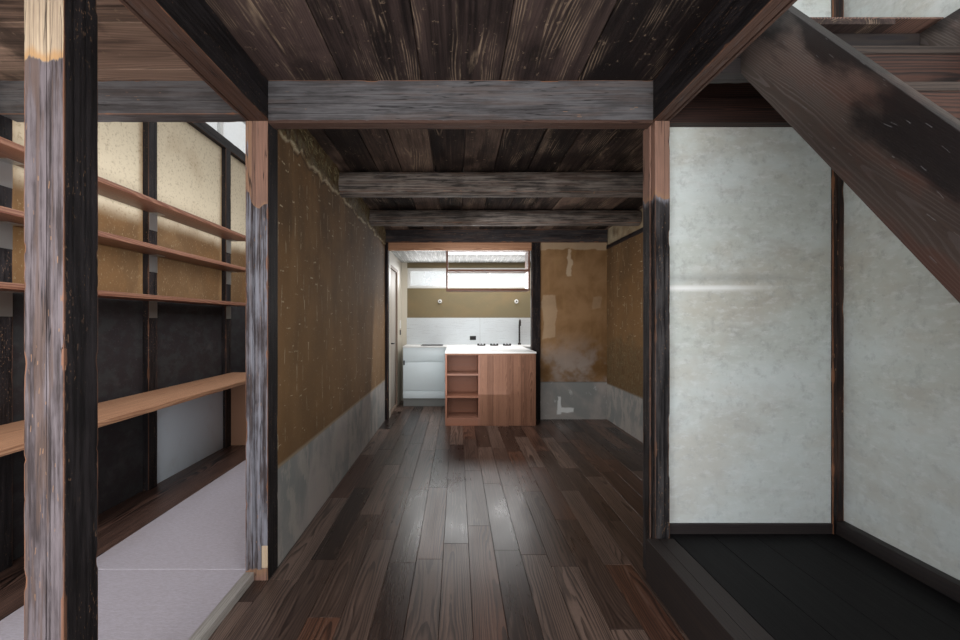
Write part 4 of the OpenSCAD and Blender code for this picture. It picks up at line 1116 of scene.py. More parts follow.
def hall_plaster(name):
    """Sand plaster with scratches, a grey plinth, and mud where the finish is gone."""
    f = Finish(name, 0.9)
    face = f.plaster(0.35, 520)
    f.start("hall_plaster", "hall_orange", f.spread(face.Blotch, 0.35, 0.65))
    f.lay("tan_brown", f.patches((3, 4, 0.8), 0.45, 0.66, 0.8, 6) * 0.35)
    f.dapple("hall_dark", (2.2, 2.2, 1.6), 0.5, 0.68, 0.5, 6)
    f.lay("hall_dark", face.Grain * 0.35)
    x, y, z = f.parts(f.at)
    f.lay("tan_brown", f.spread(z, 2.2, 1, 0, 0.3))
    run = y + x
    marks = f.calc("MAXIMUM", f.strokes(f.triple(z * 3.4, run * 9), 0.4, 0.04, 0.5, 0.85),
                   f.strokes(f.triple(run * 11, z * 9), 0.4, 0.045, 0.3, 0.55))
    f.lay("chalk", marks * f.patches((40, 40, 22), 0.42, 0.55) * 0.85)
    f.lay("chalk", face.Fleck * 0.4)
    foot = f.mix(f.spread(face.Blotch, 0.35, 0.6), "plinth", "wash_grey")
    smear = f.patches((7, 7, 3.2), 0.5, 0.58, 0.95, 6, 0.65) * 0.8
    f.lay(f.mix(smear, foot, "plinth_smear"), "bare")
    lump = f.cloud(24, 5, 0.65)
    under = f.mix(f.spread(lump, 0.38, 0.62), "hall_plaster", "mud")
    under = f.mix(f.patches((9, 60), 0.55, 0.68, 0.6), under, "straw")
    f.lay(f.mix(f.spread(lump, 0.42, 0.3, 0, 0.7), under, "ceiling_dark"), "char")
    f.lay("chalk", "wear")
    f.lay("char", "crack")
    return f.done(face.Height, 0.45, 0.0012)


def lime_plaster(name):
    """Pale trowelled plaster of the stair bay."""
    f = Finish(name, 0.85)
    face = f.plaster(1, 380)
    f.start("white_plaster", "white_cool", f.patches((1.4, 1.4, 3), 0.4, 0.62, 1, 8, 0.65))
    f.dapple("white_warm", (1.3, 1.3, 2), 0.44, 0.66, 0.75, 5)
    f.lay("plinth_smear", f.spread(face.Sweep, 0.5, 0.7, 0, 0.35))
    fine = f.patches((16, 16, 34), 0.5, 0.64, 0.4, 6, 0.7)
    f.lay("white_paint", fine)
    f.dapple("wash_grey", (24,), 0.5, 0.68, 0.3, 7, 0.7)
    x, y, z = f.parts(f.at)
    sweeps = f.strokes(f.triple((x + y) * 5, z * 22), 0.45, 0.05, 2.5, 0.35)
    f.lay("white_paint", sweeps * fine * 1.6)
    f.lay("grey_panel", f.spread(z, 1.6, 0.5, 0, 0.25))
    f.lay((0.95, 0.96, 0.95, 1), "wear")
    f.lay("wash_grey", f.value("char") * 0.4)
    f.dapple("tan_brown", (30,), 0.72, 0.76, 0.5)
    return f.done(face.Height, 0.5, 0.0015)


def shelf_wall_plaster(name):
    """Left wall: pale tan above the shelves, ochre brown between them, sooty below."""
    f = Finish(name, 0.92)
    face = f.plaster(0.3, 320)
    f.start("hall_orange", "hall_plaster", f.spread(face.Blotch, 0.4, 0.65))
    f.lay("tan_plaster", "bare")
    f.lay("tan_brown", f.value("wear") * 0.8)
    f.lay("tan_brown", f.spread(face.Blotch, 0.5, 0.72, 0, 0.4))
    f.dapple("hall_orange", (55,), 0.52, 0.7, 0.4)
    f.dapple("chalk", (90, 90, 60), 0.58, 0.7, 0.35)
    black = f.mix(f.patches((9, 9, 14), 0.42, 0.62, 1, 7), "smoked", "soot")
    black = f.mix(face.Fleck * 0.3, black, "old_grey")
    black = f.mix(f.patches((6, 6, 9), 0.56, 0.7, 0.35), black, "old_dark")
    f.lay(black, f.torn("char", None, Scale=9, Tear=0.35, Soft=0.2).Mask)
    return f.done(face.Height, 0.5, 0.0014)


def plain_plaster(name, base, other, sweep=0.4, inside=None):
    """Plain plaster; inside is the colour on the room side of the rear wall."""
    f = Finish(name, 0.88)
    face = f.plaster(sweep, 400)
    f.start(base, other, f.spread(face.Blotch, 0.35, 0.7))
    if inside:
        room = f.mix(f.spread(face.Blotch, 0.4, 0.7, 0, 0.25), inside, "tan_brown")
        _, y, _ = f.parts(f.at)
        f.lay(f.mix(face.Grain * 0.3, room, "mud"),
              f.calc("LESS_THAN", y, BOX["rear_wall_middle"][0].y + 0.04))
    f.lay("chalk", face.Fleck * 0.25)
    return f.done(face.Height, 0.4, 0.001)


def ochre_plaster(name):
    """Panel beside the kitchen: ochre with pale lost patches and a grey foot."""
    f = Finish(name, 0.9)
    face = f.plaster(0.3, 520)
    f.start("ochre", "hall_orange", f.spread(face.Blotch, 0.35, 0.68))
    f.dapple("tan_brown", (9, 9, 1.2), 0.5, 0.7, 0.5)
    _, _, z = f.parts(f.at)
    f.lay("plinth", f.spread(z, 1.3, 0.75) * f.patches((2.2, 1, 2.6), 0.42, 0.6) * 0.6)
    f.lay("bare_cream", "wear")
    foot = f.mix(f.spread(face.Blotch, 0.35, 0.6), "plinth", "wash_grey")
    foot = f.mix(f.patches((9, 9, 7), 0.6, 0.66, 0.3, 6), foot, "white_paint")
    f.lay(f.mix(f.value("char") * 1.3, foot, "white_paint"), "bare")
    f.lay("smoked", "crack")
    return f.done(face.Height, 0.4, 0.001)


def woven_mat(name):
    """Woven face of the mats: fine ribs with slight wear."""
    f = Finish(name, 0.85)
    f.start("mat", "mat_far", f.patches((1.1, 0.7, 1), 0.4, 0.7, 0.6))
    thread = f.drift((260, 900, 1), 2, 0.6)
    f.lay("plinth", f.spread(thread, 0.35, 0.7, 0.35, 0))
    f.lay("old_brown", f.spread(f.drift((40, 300, 1), 3, 0.7), 0.6, 0.4, 0, 0.2))
    return f.done(thread, 0.4, 0.0005)


def painted(name, colour, roughness=0.45, worn=0.15, toe_shade_height=None, **constants):
    """Paint or lacquer with faint brush marks and a little dirt; grey painted shade below the
    toe-kick height.
    """
    f = Finish(name, roughness, **constants)
    f.start(colour, "plinth", f.patches((5,), 0.48, 0.75, worn, 6, 0.65))
    if toe_shade_height:
        _, _, z = f.parts(f.at)
        # painted shade: the flush toe kick below this height is greyed to look recessed and in
        # shadow
        f.lay("wash_grey", f.calc("LESS_THAN", z, toe_shade_height))
    brush = f.drift((6, 6, 160), 2)
    return f.done(brush, 0.12, 0.0003,
                  f.spread(brush, 0.3, 0.7, roughness - 0.05, roughness + 0.08))


def brushed(name, colour, metallic=0.9, roughness=0.35):
    """Brushed metal with a grain along X."""
    f = Finish(name, roughness, Metallic=metallic)
    f.start(colour, "plinth", f.patches((3,), 0.35, 0.7, 0.12))
    lines = f.drift((4, 500), 2)
    return f.done(lines, 0.1, 0.0002,
                  f.spread(lines, 0.3, 0.7, roughness - 0.08, roughness + 0.1))


def washed_boards(name):
    """Kitchen ceiling: boards under a thin whitewash."""
    f = Finish(name, 0.7, True)
    grain = f.grain(0.006, 0.05, 1, 90)
    thin = grain.Streaks * 0.6 + f.drift((3, 30), 5) * 0.5
    f.start("white_paint", "wash_grey", f.spread(thin, 0.36, 0.6))
    f.dapple("plinth", (6, 60), 0.6, 0.7, 0.4)
    return f.done(grain.Height, 0.3, 0.0006)


def cast_concrete(name):
    f = Finish(name, 0.9)
    marks, holes = f.cloud(3, 7, 0.65), f.patches((70,), 0.68, 0.74)
    f.start("concrete", "plinth_smear", f.spread(marks, 0.35, 0.7))
    f.lay("old_dark", holes * 0.5)
    return f.done(marks - holes, 0.5, 0.002)


def window_glass(name):
    """Frosted panes that let most of the light through."""
    f = Finish(name, 0.12, IOR=1.45, Alpha=0.3)
    f.start("glass", "white_cool", f.patches((2.5,), 0.4, 0.7))
    return f.done()


def told(*values, **named):
    return values, named


RED_BOARDS = {"ring": 0.0045, "figure": 0.3, "streak": 130, "roughness": 0.45}
UNDER = {"bare": "beam_under", "rim": "beam_under"}
FINISHES = {
    **{make: {make.__name__: told()} for make in (
        walnut_floor, stringer_wood, hall_plaster, lime_plaster, shelf_wall_plaster,
        ochre_plaster, woven_mat, washed_boards, cast_concrete, window_glass)},
    overhead_boards: {
        "overhead_boards": told(),
        "rear_boards": told("old_brown", 0.9, 0.009, 0.9),
        "room_boards": told("room_ceiling", 0.25, 0.012),
    },
    old_timber: {
        "old_frame": told(),
        "old_black": told("char", "smoked", "old_brown", 0.3, 0.12, 0.2),
        "old_header": told(browning=0.3, dust=0.15, nicks=0.1, **UNDER),
        "old_beam": told("smoked", "old_dark", dust=0.12, **UNDER),
        "smooth_beam": told(browning=0.2, dust=0.06, nicks=0.05),
        "old_log": told("log_dark", "log_pale", dust=0.4, nicks=0.1),
        "free_post": told("post_dark", "post_pale", browning=0.7, dust=0.12, bare="bare_cream"),
        "left_post": told("post_dark", "post_blue", browning=0.25, rim="scar"),
        "right_post": told("post_dark", "post_blue", black="old_dark", nicks=0.45, rim="scar"),
        "corner_post": told("char", "stair_red", "old_brown", 0.3, 0.1, 0.3),
    },
    wood: {
        "plug_wood": told("bare_gold", "bare_cream", figure=0.2),
        "straw_stalks": told("mud", "straw", roughness=0.8, swing=0.8),
        "strip_boards": told("ceiling_dark", "strip_board", roughness=0.35),
        "pale_timber": told("plinth_smear", "pale_timber", figure=0.2, streak=90, roughness=0.6),
        "frame_timber": told("strip_board", "kitchen_wall", figure=0.2, roughness=0.7),
        "black_boards": told("char", "black_floor", roughness=0.62, figure=0.3,
                             Specular_IOR_Level=0.25),
        "upper_face": told("smoked", "strip_board", 0.01, 0.09, roughness=0.6, swing=0.5),
        "step_timber": told("smoked", "step", 0.01, 0.1, roughness=0.6, bump=0.5),
        "tread_boards": told("ceiling_dark", "stair_light", 0.009, roughness=0.62, bump=0.5,
                             swing=0.5),
        "riser_boards": told("ceiling_dark", "stair_red", 0.009, roughness=0.65, bump=0.4),
        "new_wood": told("new_oak", "new_oak_light", figure=0.3, streak=180, roughness=0.45,
                         swing=0.15),
        "shelf_wood": told("red_wood", "unit_light", roughness=0.45, swing=0.15),
        "red_wood": told("red_wood", "red_wood_light", **RED_BOARDS, swing=0.6),
        "unit_panel": told("unit_dark", "unit_light", **RED_BOARDS, swing=0.35),
        "unit_inside": told("strip_board", "red_wood_light", **{**RED_BOARDS, "figure": 0.2}),
        "outer_boards": told("log_dark", "outer_board", 0.01, 0.1, roughness=0.85, bump=0.6,
                             swing=0.5),
    },
    plain_plaster: {
        "kitchen_plaster": told("kitchen_wall", "white_warm"),
        "outer_plaster": told("outer_plaster", "kitchen_wall", 0.8),
        "rear_plaster": told("outer_plaster", "kitchen_wall", 0.8, "olive"),
    },
    painted: {
        "white_paint": told("white_paint"),
        "door_paint": told("door_paint", 0.75, Specular_IOR_Level=0.2),
        # the last value is the toe-kick height, below which a grey painted shade is laid on the
        # cabinets
        "cabinet_paint": told("cabinet", 0.35, 0.06, 0.25),
        "worktop": told("worktop", 0.3, 0.05),
        "grey_panel": told("grey_panel", 0.6, 0.2),
        "black_metal": told("black_metal", 0.4, 0.05),
    },
    brushed: {
        "bracket_steel": told("bracket", 0.4, 0.45),
        "splash_steel": told("steel", 0.5),
        "tap_steel": told("old_dark", 0.85, 0.3),
    },
}


def finish_of(name):
    """The material of that name, made when it is first asked for."""
    found = bpy.data.materials.get(name)
    for make, known in FINISHES.items():
        if name in known and not found:
            values, named = known[name]
            found = make(name, *values, **named)
    return found


# Stains on the timbers

def face_to(outward, axis, sign):
    """1 on the side of a timber that looks along an axis."""
    return np.clip(outward[:, axis] * sign, 0, 1)


def torn_level(points, level, tear, seed, above=True, ramp=0.1):
    """A ramp up or down past a level whose edge wanders by tear; 0.5 at the edge."""
    edge = level + tear * fractal(points, (18, 18, 4), seed)
    return np.clip((points[:, 2] - edge) / ramp * (1 if above else -1) + 0.5, 0, 1)


def free_post_marks(points, outward):
    side = face_to(outward, 0, 1)
    return {"char": side, "bare": torn_level(points, 2.085, 0.02, 3) * (1 - side)}


def left_post_marks(points, outward):
    front = face_to(outward, 1, -1)
    inward = smooth((points[:, 0] - LEFT_POST[0].x - 0.03) / 0.03)
    foot = torn_level(points, 0.19, 0.02, 6, above=False)
    upper = torn_level(points, 1.93, 0.06, 5, ramp=0.05) * (0.52 + 0.48 * inward)
    return {"char": face_to(outward, 0, 1), "bare": front * np.maximum(upper, foot)}


def right_post_marks(points, outward):
    level = torn_level(points, 1.965, 0.04, 8)
    return {"char": 0.75 * (1 - level), "bare": level}


def black_marks(points, outward):
    return {"char": np.full(len(points), 0.9)}


def worn_underside(points, outward):
    """Beams whose lower face is worn to the wood, and the lower arris with it."""
    low = points[:, 2].min() + 0.018
    return {"bare": 0.64 * np.maximum(face_to(outward, 2, -1), smooth((low - points[:, 2]) / 0.02))}


def side_beam_marks(points, outward):
    side = np.sign(HALL_MIDDLE - points[:, 0].mean())
    return {"char": face_to(outward, 0, side), "bare": face_to(outward, 2, -1) * 0.55}


# Operators: one for each group of like pieces

def lit(name, place, size, look, watts, sheen=False):
    """A soft lamp that isn't seen; a sheen lamp is only mirrored by glossy faces."""
    data = bpy.data.lights.new(name, "AREA")
    data.shape = "RECTANGLE"
    data.size, data.size_y, data.energy = size[0], size[1], watts
    lamp = added(name, data)
    lamp.location = place
    lamp.rotation_euler = Vector(look).to_track_quat("-Z", "Y").to_euler()
    lamp.visible_camera = False
    lamp.visible_glossy = sheen
    lamp.visible_diffuse = not sheen


def white_world(context):
    world = bpy.data.worlds.new("world")
    world.use_nodes = True
    g = Nodes(world.node_tree)
    back = next(n for n in world.node_tree.nodes if n.type == "BACKGROUND")
    ray = g.wires(g.node("ShaderNodeLightPath").outputs)
    seen = g.calc("MAXIMUM", ray.Is_Camera_Ray, g.calc(
        "MAXIMUM", ray.Is_Glossy_Ray, ray.Is_Transmission_Ray))
    g.give(back.inputs["Strength"], g.calc("MAXIMUM", seen, 0.85))
    back.inputs["Color"].default_value = (1, 1, 1, 1)
    context.scene.world = world


def pale_floor(context):
    reach = 30.0
    mesh = bpy.data.meshes.new("ground")
    mesh.from_pydata([(-reach, -reach, 0), (reach, -reach, 0), (reach, reach, 0),
                      (-reach, reach, 0)], [], [(0, 1, 2, 3)])
    ground = added("ground", mesh)
    finish = Finish("ground", 0.9)
    finish.colour = (0.8, 0.8, 0.79, 1)
    mesh.materials.append(finish.done())


class TOWNHOUSE_OT_stage(bpy.types.Operator):
    """Camera, soft light and a plain pale floor"""
    bl_idname = "townhouse.stage"
    bl_label = "Stage"

    def execute(self, context):
        view = context.scene.townhouse_view
        camera = added("camera", bpy.data.cameras.new("camera"))
        camera.location = view.eye
        camera.rotation_euler = (math.pi / 2, 0, 0)
        camera.data.lens = view.lens
        camera.data.sensor_width = 36
        wide, high = view.picture
        camera.data.shift_x = (wide / 2 - view.vanishing[0]) / wide
        camera.data.shift_y = (view.vanishing[1] - high / 2) / wide
        camera.data.clip_start = 0.02
        context.scene.camera = camera
        context.scene.view_settings.view_transform = "Standard"
        white_world(context)
        pale_floor(context)
        window = BOX["rear_window_frame"]
        pane = (window[0] + window[1]) / 2
        lit("street", (HALL_MIDDLE, ROOM_FRONT + 0.05, 1.5), (3.6, 1.8), (0, 1, 0), 66)
        lit("hall_up", (HALL_MIDDLE + 0.2, 0.6, 0.5), (0.8, 2.6), (0, 0, 1), 8)
        lit("hall_right", (HALL_MIDDLE, 1.0, 1.6), (1.6, 1.6), (0.8, 0.5, -0.3), 13)
        lit("front_up", (HALL_MIDDLE, -2.4, 0.6), (1.2, 1.4), (0, 0, 1), 9)
        lit("left_room", (-1.25, -0.9, 1.95), (4.4, 0.5), (-1, 0, -0.35), 26)
        lit("left_front", (-1.45, ROOM_FRONT + 0.05, 1.2), (1.1, 2.0), (0, 1, -0.1), 17)
        lit("stair_bay", (1.5, -2.9, 1.7), (0.9, 1.4), (0.3, 1, 0), 12)
        lit("kitchen", (0.6, 2.9, 2.2), (1.8, 0.7), (0, 0.1, -1), 27)
        lit("kitchen_front", (0.1, 1.4, 1.2), (1.4, 1.0), (0, 1, -0.2), 7.5)
        lit("window", (pane.x, ROOM_REAR - 0.02, pane.z), (1.8, 0.26), (0, -1, -0.1), 22, True)
        return {"FINISHED"}


class TOWNHOUSE_OT_base(bpy.types.Operator):
    """Base slab and sills"""
    bl_idname = "townhouse.base"
    bl_label = "Base and sills"

    def execute(self, context):
        dress("base_slab", "cast_concrete")
        timbers("front_sill_timbers", "front_sills", 0, "old_frame", "old_frame", seed=11)
        timbers("bay_sill_rear", solid_boxes("stair_bay_sills")[:1], 0, "step_timber",
                "old_frame", "stair_bay_sills", seed=12, checks=0)
        joinery("bay_sill_side", "stair_bay_sills", "step_timber",
                only=lambda k: k == 1)
        return {"FINISHED"}


class TOWNHOUSE_OT_floors(bpy.types.Operator):
    """Hall boards, edge boards, stair bay boards, step and threshold"""
    bl_idname = "townhouse.floors"
    bl_label = "Floors"

    def execute(self, context):
        own = sizes()
        lo, hi = BOX["hall_floor"]
        step = BOX["floor_step"]
        foot = hi.z - 0.02
        rear = PARTITION[0].y
        kitchen = BOX["kitchen_left_wall"]
        zones = [
            ((BOX["left_threshold"][1].x, lo.y, foot), (step[0].x, LEFT_POST[0].y, hi.z)),
            ((LEFT_POST[1].x, LEFT_POST[0].y, foot), (RIGHT_POST[0].x, LEFT_POST[1].y, hi.z)),
            ((LEFT_POST[1].x, LEFT_POST[1].y, foot), (hi.x, rear, hi.z)),
            ((PARTITION[0].x, rear, foot), (hi.x, PARTITION[1].y, hi.z)),
            ((kitchen[0].x, PARTITION[1].y, foot), (hi.x, hi.y, hi.z)),
        ]
        boarded("hall_floor_boards", zones, (lo.x - 0.06, lo.y, hi.z), ALONG_Y,
                (own.floor_board, own.floor_board), own.floor_length, 0.018, own.floor_gap,
                0.001, 5, "walnut_floor", "hall_floor", uneven=0.0004)
        joinery("mat_edge_boards", "left_floor_strip", "strip_boards", axis=1)
        bay_lo, bay_hi = BOX["stair_floor"]
        foot = bay_hi.z - 0.03
        bay = [((step[1].x, bay_lo.y, foot), (bay_hi.x, RIGHT_POST[0].y, bay_hi.z)),
               ((RIGHT_POST[1].x, RIGHT_POST[0].y, foot), tuple(bay_hi))]
        boarded("stair_bay_boards", bay, (bay_lo.x, bay_lo.y, bay_hi.z), ALONG_Y, (0.2, 0.24),
                2.6, 0.03, 0.0015, 0.001, 9, "black_boards", "stair_floor")
        timbers("step_beam", "floor_step", 1, "step_timber", "stair_floor", seed=14, chip=0.5)
        joinery("mat_threshold", "left_threshold", "pale_timber", ease=0.002)
        return {"FINISHED"}


def mat(lo, hi):
    """One mat: ribs as fine ridges, and edges that roll over."""
    pitch = sizes().mat_rib
    rib, roll = 0.0007, 0.006
    ys = np.append(np.arange(lo[1], hi[1], pitch / 4), hi[1])
    xs = np.concatenate([[lo[0], lo[0] + roll / 2], np.linspace(lo[0] + roll, hi[0] - roll, 2),
                         [hi[0] - roll / 2, hi[0]]])
    xx, yy = (grid.ravel() for grid in np.meshgrid(xs, ys, indexing="ij"))
    inside = np.minimum.reduce([xx - lo[0], hi[0] - xx, yy - lo[1], hi[1] - yy])
    drop = roll * (1 - np.sqrt(1 - (1 - np.clip(inside / roll, 0, 1)) ** 2)) * 0.8
    ridges = rib * (0.5 - 0.5 * np.cos(yy / pitch * 2 * math.pi))
    top = np.stack([xx, yy, hi[2] - drop - ridges], 1)
    faces, rim = grid_faces(len(xs), len(ys))
    foot = top[rim].copy()
    foot[:, 2] = lo[2] + 0.001
    first, count = len(top), len(rim)
    faces += [(rim[(k + 1) % count], rim[k], first + k, first + (k + 1) % count)
              for k in range(count)]
    faces.append(tuple(range(first, first + count))[::-1])
    return shape(np.concatenate([top, foot]), faces)


class TOWNHOUSE_OT_mats(bpy.types.Operator):
    """Woven mats with ribs across the room"""
    bl_idname = "townhouse.mats"
    bl_label = "Mats"

    def execute(self, context):
        shapes = [mat(lo, hi) for lo, hi in solid_boxes("mats")]
        settle("woven_mats", joined(shapes), "woven_mat", "mats", crease=50)
        return {"FINISHED"}


class TOWNHOUSE_OT_posts(bpy.types.Operator):
    """Old posts, each with its own wear"""
    bl_idname = "townhouse.posts"
    bl_label = "Posts"

    def execute(self, context):
        timbers("free_post_timber", "free_post", 2, "free_post", "grey_post", seed=21, checks=2,
                marks=free_post_marks, step=0.012, chip=1.2, kerf=(0, 0.073, -1.0, 1.2))
        timbers("left_middle_post_timber", "left_middle_post", 2, "left_post", "grey_post",
                seed=22, checks=2, marks=left_post_marks, step=0.014, kerf=(0, 0.042, 0.3, 1.7))
        lo, hi = RIGHT_POST
        rebate = (0.009, 0.038)
        parts = [((lo.x + rebate[0], lo.y, lo.z), hi),
                 ((lo.x, lo.y + rebate[1], lo.z), (lo.x + rebate[0], hi.y, hi.z))]
        timbers("right_middle_post_timber", parts, 2, "right_post", "charred_post",
                "right_middle_post", seed=23, marks=right_post_marks, step=0.014,
                chip=[1.3, 0.3], arris=[1.0, 0.4], checks=[1, 0])
        timbers("corner_post_timber", "corner_post", 2, "corner_post", "charred_post", seed=24)
        for name, node, material, seed, marks in (
                ("front_post_timbers", "front_posts", "old_frame", 25, None),
                ("left_wall_post_timbers", "left_wall_posts", "old_black", 26, black_marks),
                ("kitchen_post_timbers", "kitchen_posts", "old_black", 27, black_marks)):
            timbers(name, node, 2, material, "old_frame", seed=seed, marks=marks, step=0.04)
        foot = LEFT_POST[0]
        boards("post_plug", [((-0.764, foot.y - 0.001, 0.19), (LEFT_POST[1].x - 0.002,
                                                              foot.y + 0.02, 0.295), 2)],
               "plug_wood")
        return {"FINISHED"}


class TOWNHOUSE_OT_beams(bpy.types.Operator):
    """Header, side beams, log joists and the other beams"""
    bl_idname = "townhouse.beams"
    bl_label = "Beams"

    def execute(self, context):
        for name, node, axis, material, form in (
                ("header_timber", "middle_header", 0, "old_header",
                 {"seed": 31, "checks": 3, "marks": worn_underside, "step": 0.014}),
                ("side_beam_timbers", "side_beams", 1, "old_beam",
                 {"seed": 32, "marks": side_beam_marks, "groove_depth": 0.009,
                  "grooves": [{3: (0.088, 0.096)}, {3: (0.014, 0.022)}]}),
                ("front_beam_timber", "front_beam", 0, "old_frame", {"seed": 33}),
                ("left_cross_beam_timber", "left_cross_beam", 0, "smooth_beam", {"seed": 34}),
                ("log_joist_timbers", "log_joists", 0, "old_log",
                 {"seed": 35, "rounding": 0.75, "hewn": 4.0, "step": 0.025, "checks": 2}),
                ("kitchen_beam_timber", "kitchen_beam", 0, "old_beam", {"seed": 36})):
            timbers(name, node, axis, material, "old_frame", **form)
        timbers("stairwell_trimmer_timber", "stairwell_trimmer", 0, "step_timber", "old_boards",
                seed=37)
        joinery("stair_bay_beam_timber", "stair_bay_beam", "riser_boards",
                ease=0.003)
        timbers("left_wall_plate_timber", "left_wall_plate", 1, "old_black", "old_frame",
                seed=38, marks=black_marks, step=0.04)
        return {"FINISHED"}


class TOWNHOUSE_OT_upper_floor(bpy.types.Operator):
    """Boards overhead"""
    bl_idname = "townhouse.upper_floor"
    bl_label = "Upper floor"

    def execute(self, context):
        own = sizes()
        lo, hi = BOX["upper_floor"]
        left, right = LEFT_POST[0].x, RIGHT_POST[1].x
        header = BOX["middle_header"][1].y
        edge = BOX["stairwell_trimmer"][0].y - 0.05
        front = [((left, lo.y, lo.z), (right, header, hi.z)),
                 ((right, edge, lo.z), (hi.x, header, hi.z))]
        rear = [((left, header, lo.z), (hi.x, hi.y, hi.z))]
        room = [((lo.x, lo.y, lo.z), (left, BOX["left_cross_beam"][1].y, hi.z))]
        deck = hi.z - 0.006
        thick = deck - lo.z
        start = HALL_MIDDLE - 4.5 * own.front_ceiling
        boarded("upper_face_boards", [((a, b, deck), (c, d, hi.z))
                                      for (a, b, _), (c, d, _) in (*front, *rear, *room)],
                (lo.x, lo.y, hi.z), ALONG_Y, (0.29, 0.33), 6.0, 0.006, 0.0, 0.0005, 18,
                "upper_face", "upper_floor")
        for name, boxes, place, turn, widths, gap, seed, material in (
                ("front_ceiling_boards", front, (start, lo.y, deck), ALONG_Y,
                 (own.front_ceiling, own.front_ceiling), 0.005, 15, "overhead_boards"),
                ("rear_ceiling_boards", rear, (left, header, deck), ALONG_Y,
                 (own.rear_ceiling_min, own.rear_ceiling_max), 0.006, 16, "rear_boards"),
                ("room_ceiling_boards", room, (lo.x, lo.y, lo.z), ALONG_X, (0.28, 0.34), 0.004,
                 17, "room_boards")):
            boarded(name, [(low, (*high[:2], deck)) for low, high in boxes], place, turn, widths,
                    6.0, thick, gap, 0.0025, seed, material, "upper_floor")
        return {"FINISHED"}


# Faces of the walls: each gives depth and stains

def hall_face(y, z):
    """Smooth plaster with a plinth, and lumps of mud where it has broken away on top."""
    points = plane_points(y, z)
    own = sizes()
    edge = FLOOR_Z + own.mud_band + 0.03 * fractal(points, (2.4, 0, 0), 3)
    edge = edge + 0.03 * fractal(points, (13, 0, 0), 4)
    mud = smooth((z - edge) / 0.012)
    lumps = fractal(points, (13, 17, 1), 5, 5)
    plinth = smooth((FLOOR_Z + own.plinth_top - z) / 0.004)
    lip = np.abs(z - edge - 0.004)
    rim = np.clip(1 - lip / 0.011, 0, 1) * np.clip(lumps * 4 + 1.2, 0, 1)
    under = np.clip(1 - np.abs(z - edge + 0.016) / 0.01, 0, 1) * (fractal(
        points, (7, 0, 0), 9) > -0.1)
    ledge = np.clip(1 - np.abs(z - FLOOR_Z - own.plinth_top) / 0.006, 0, 1)
    depth = 0.0016 + 0.001 * fractal(points, (3, 6, 1), 6)
    depth = depth - mud * own.mud_proud * (0.25 + 0.75 * np.clip(lumps + 0.3, 0, 1))
    depth = depth + plinth * 0.0012 + under * 0.002
    return depth, {"char": mud, "bare": plinth, "wear": np.maximum(rim * 0.6, ledge * 0.6),
                   "crack": under * 0.6 * (1 - mud)}


def straw(low):
    """Cut straw that leans out of the mud."""
    box = BOX["hall_left_wall"]
    own = sizes()
    stick = eased_box((-own.straw_length / 2, -0.0011, -0.0011),
                      (own.straw_length / 2, 0.0011, 0.0011), 0.0004, tone=0.0)
    piece = added("stick", as_mesh("stick", stick))
    span, rise = box[1].y - box[0].y - 0.1, box[1].z - low - 0.12
    mesh = grown(scattered_tree(), {
        "Board": piece, "Count": 260, "Width": span, "Rise": rise, "Turn": 1.3,
        "Lift": 0.006, "Seed": 7, "Material": finish_of("straw_stalks")})
    bpy.data.objects.remove(piece)
    mesh.transform(Matrix.Translation((box[1].x + 0.004, (box[0].y + box[1].y) / 2,
                                       low + 0.09)) @ UPRIGHT_X)
    settle("mud_straw", mesh, "straw_stalks", crease=30)


def right_hall_face(y, z):
    points = plane_points(y, z)
    upper = smooth((z - FLOOR_Z - sizes().rail_height - 0.02) / 0.01)
    plinth = smooth((FLOOR_Z + 0.45 - z) / 0.004)
    rough = fractal(points, (9, 14, 1), 15, 4)
    low = smooth((FLOOR_Z + 1.0 - z + 0.2 * rough) / 0.2) * (1 - plinth)
    depth = 0.0015 + 0.001 * fractal(points, (3, 6, 1), 8) + 0.006 * upper * (1 + rough)
    return depth, {"wear": upper * np.clip(0.45 + 0.5 * rough, 0, 1), "bare": plinth,
                   "char": low * 0.6}


def ochre_face(x, z):
    """Ochre plaster with a pale band on top, a drip, and lost patches."""
    points = plane_points(x, z)
    tear = 0.035 * fractal(points, 9, 12, 5)
    left, foot, top = BOX["kitchen_side_panel"][0].x, FLOOR_Z + 0.47, 2.3

    def torn_areas(areas, rough, soft):
        found = np.zeros(len(x))
        for u0, u1, v0, v1, amount in areas:
            gap = np.minimum.reduce([x - left - u0, left + u1 - x, z - v0, v1 - z]) + rough
            found = np.maximum(found, amount * smooth(gap / soft))
        return found

    spots = torn_areas(((0.0, 0.84, top - 0.03, top + 0.1, 0.4), (0.33, 0.4, 1.93, top, 0.6),
                        (0.03, 0.2, 1.15, 1.7, 0.3), (0.66, 0.78, 1.52, 1.68, 0.2)), tear, 0.012)
    plinth = smooth((foot - z) / 0.004)
    smears = torn_areas(((0.22, 0.26, 0.2, 0.42, 0.7), (0.26, 0.42, 0.22, 0.27, 0.7)),
                        tear * 0.6, 0.01)
    line = np.clip(1 - np.abs(z - foot) / 0.008, 0, 1)
    depth = 0.001 + 0.0006 * fractal(points, 8, 13) + 0.0014 * spots
    return depth, {"wear": np.maximum(spots * (1 - plinth), 0.0), "char": smears,
                   "bare": plinth, "crack": line * 0.5}


def lime_face(x, z):
    """Pale panel with one bright trowel line."""
    depth, _ = plain_surface(0.0012, 5)(x, z)
    level = 1.53 + 0.006 * fractal(plane_points(x, z), (2, 0, 0), 21)
    line = np.clip(1.3 - np.abs(z - level) / 0.014, 0, 1) * smooth((1.62 - x) / 0.4)
    above = np.clip(1 - np.abs(z - level - 0.05) / 0.03, 0, 1) * smooth((1.8 - x) / 0.3)
    return depth - 0.0006 * line, {"wear": line * 0.95, "char": above}


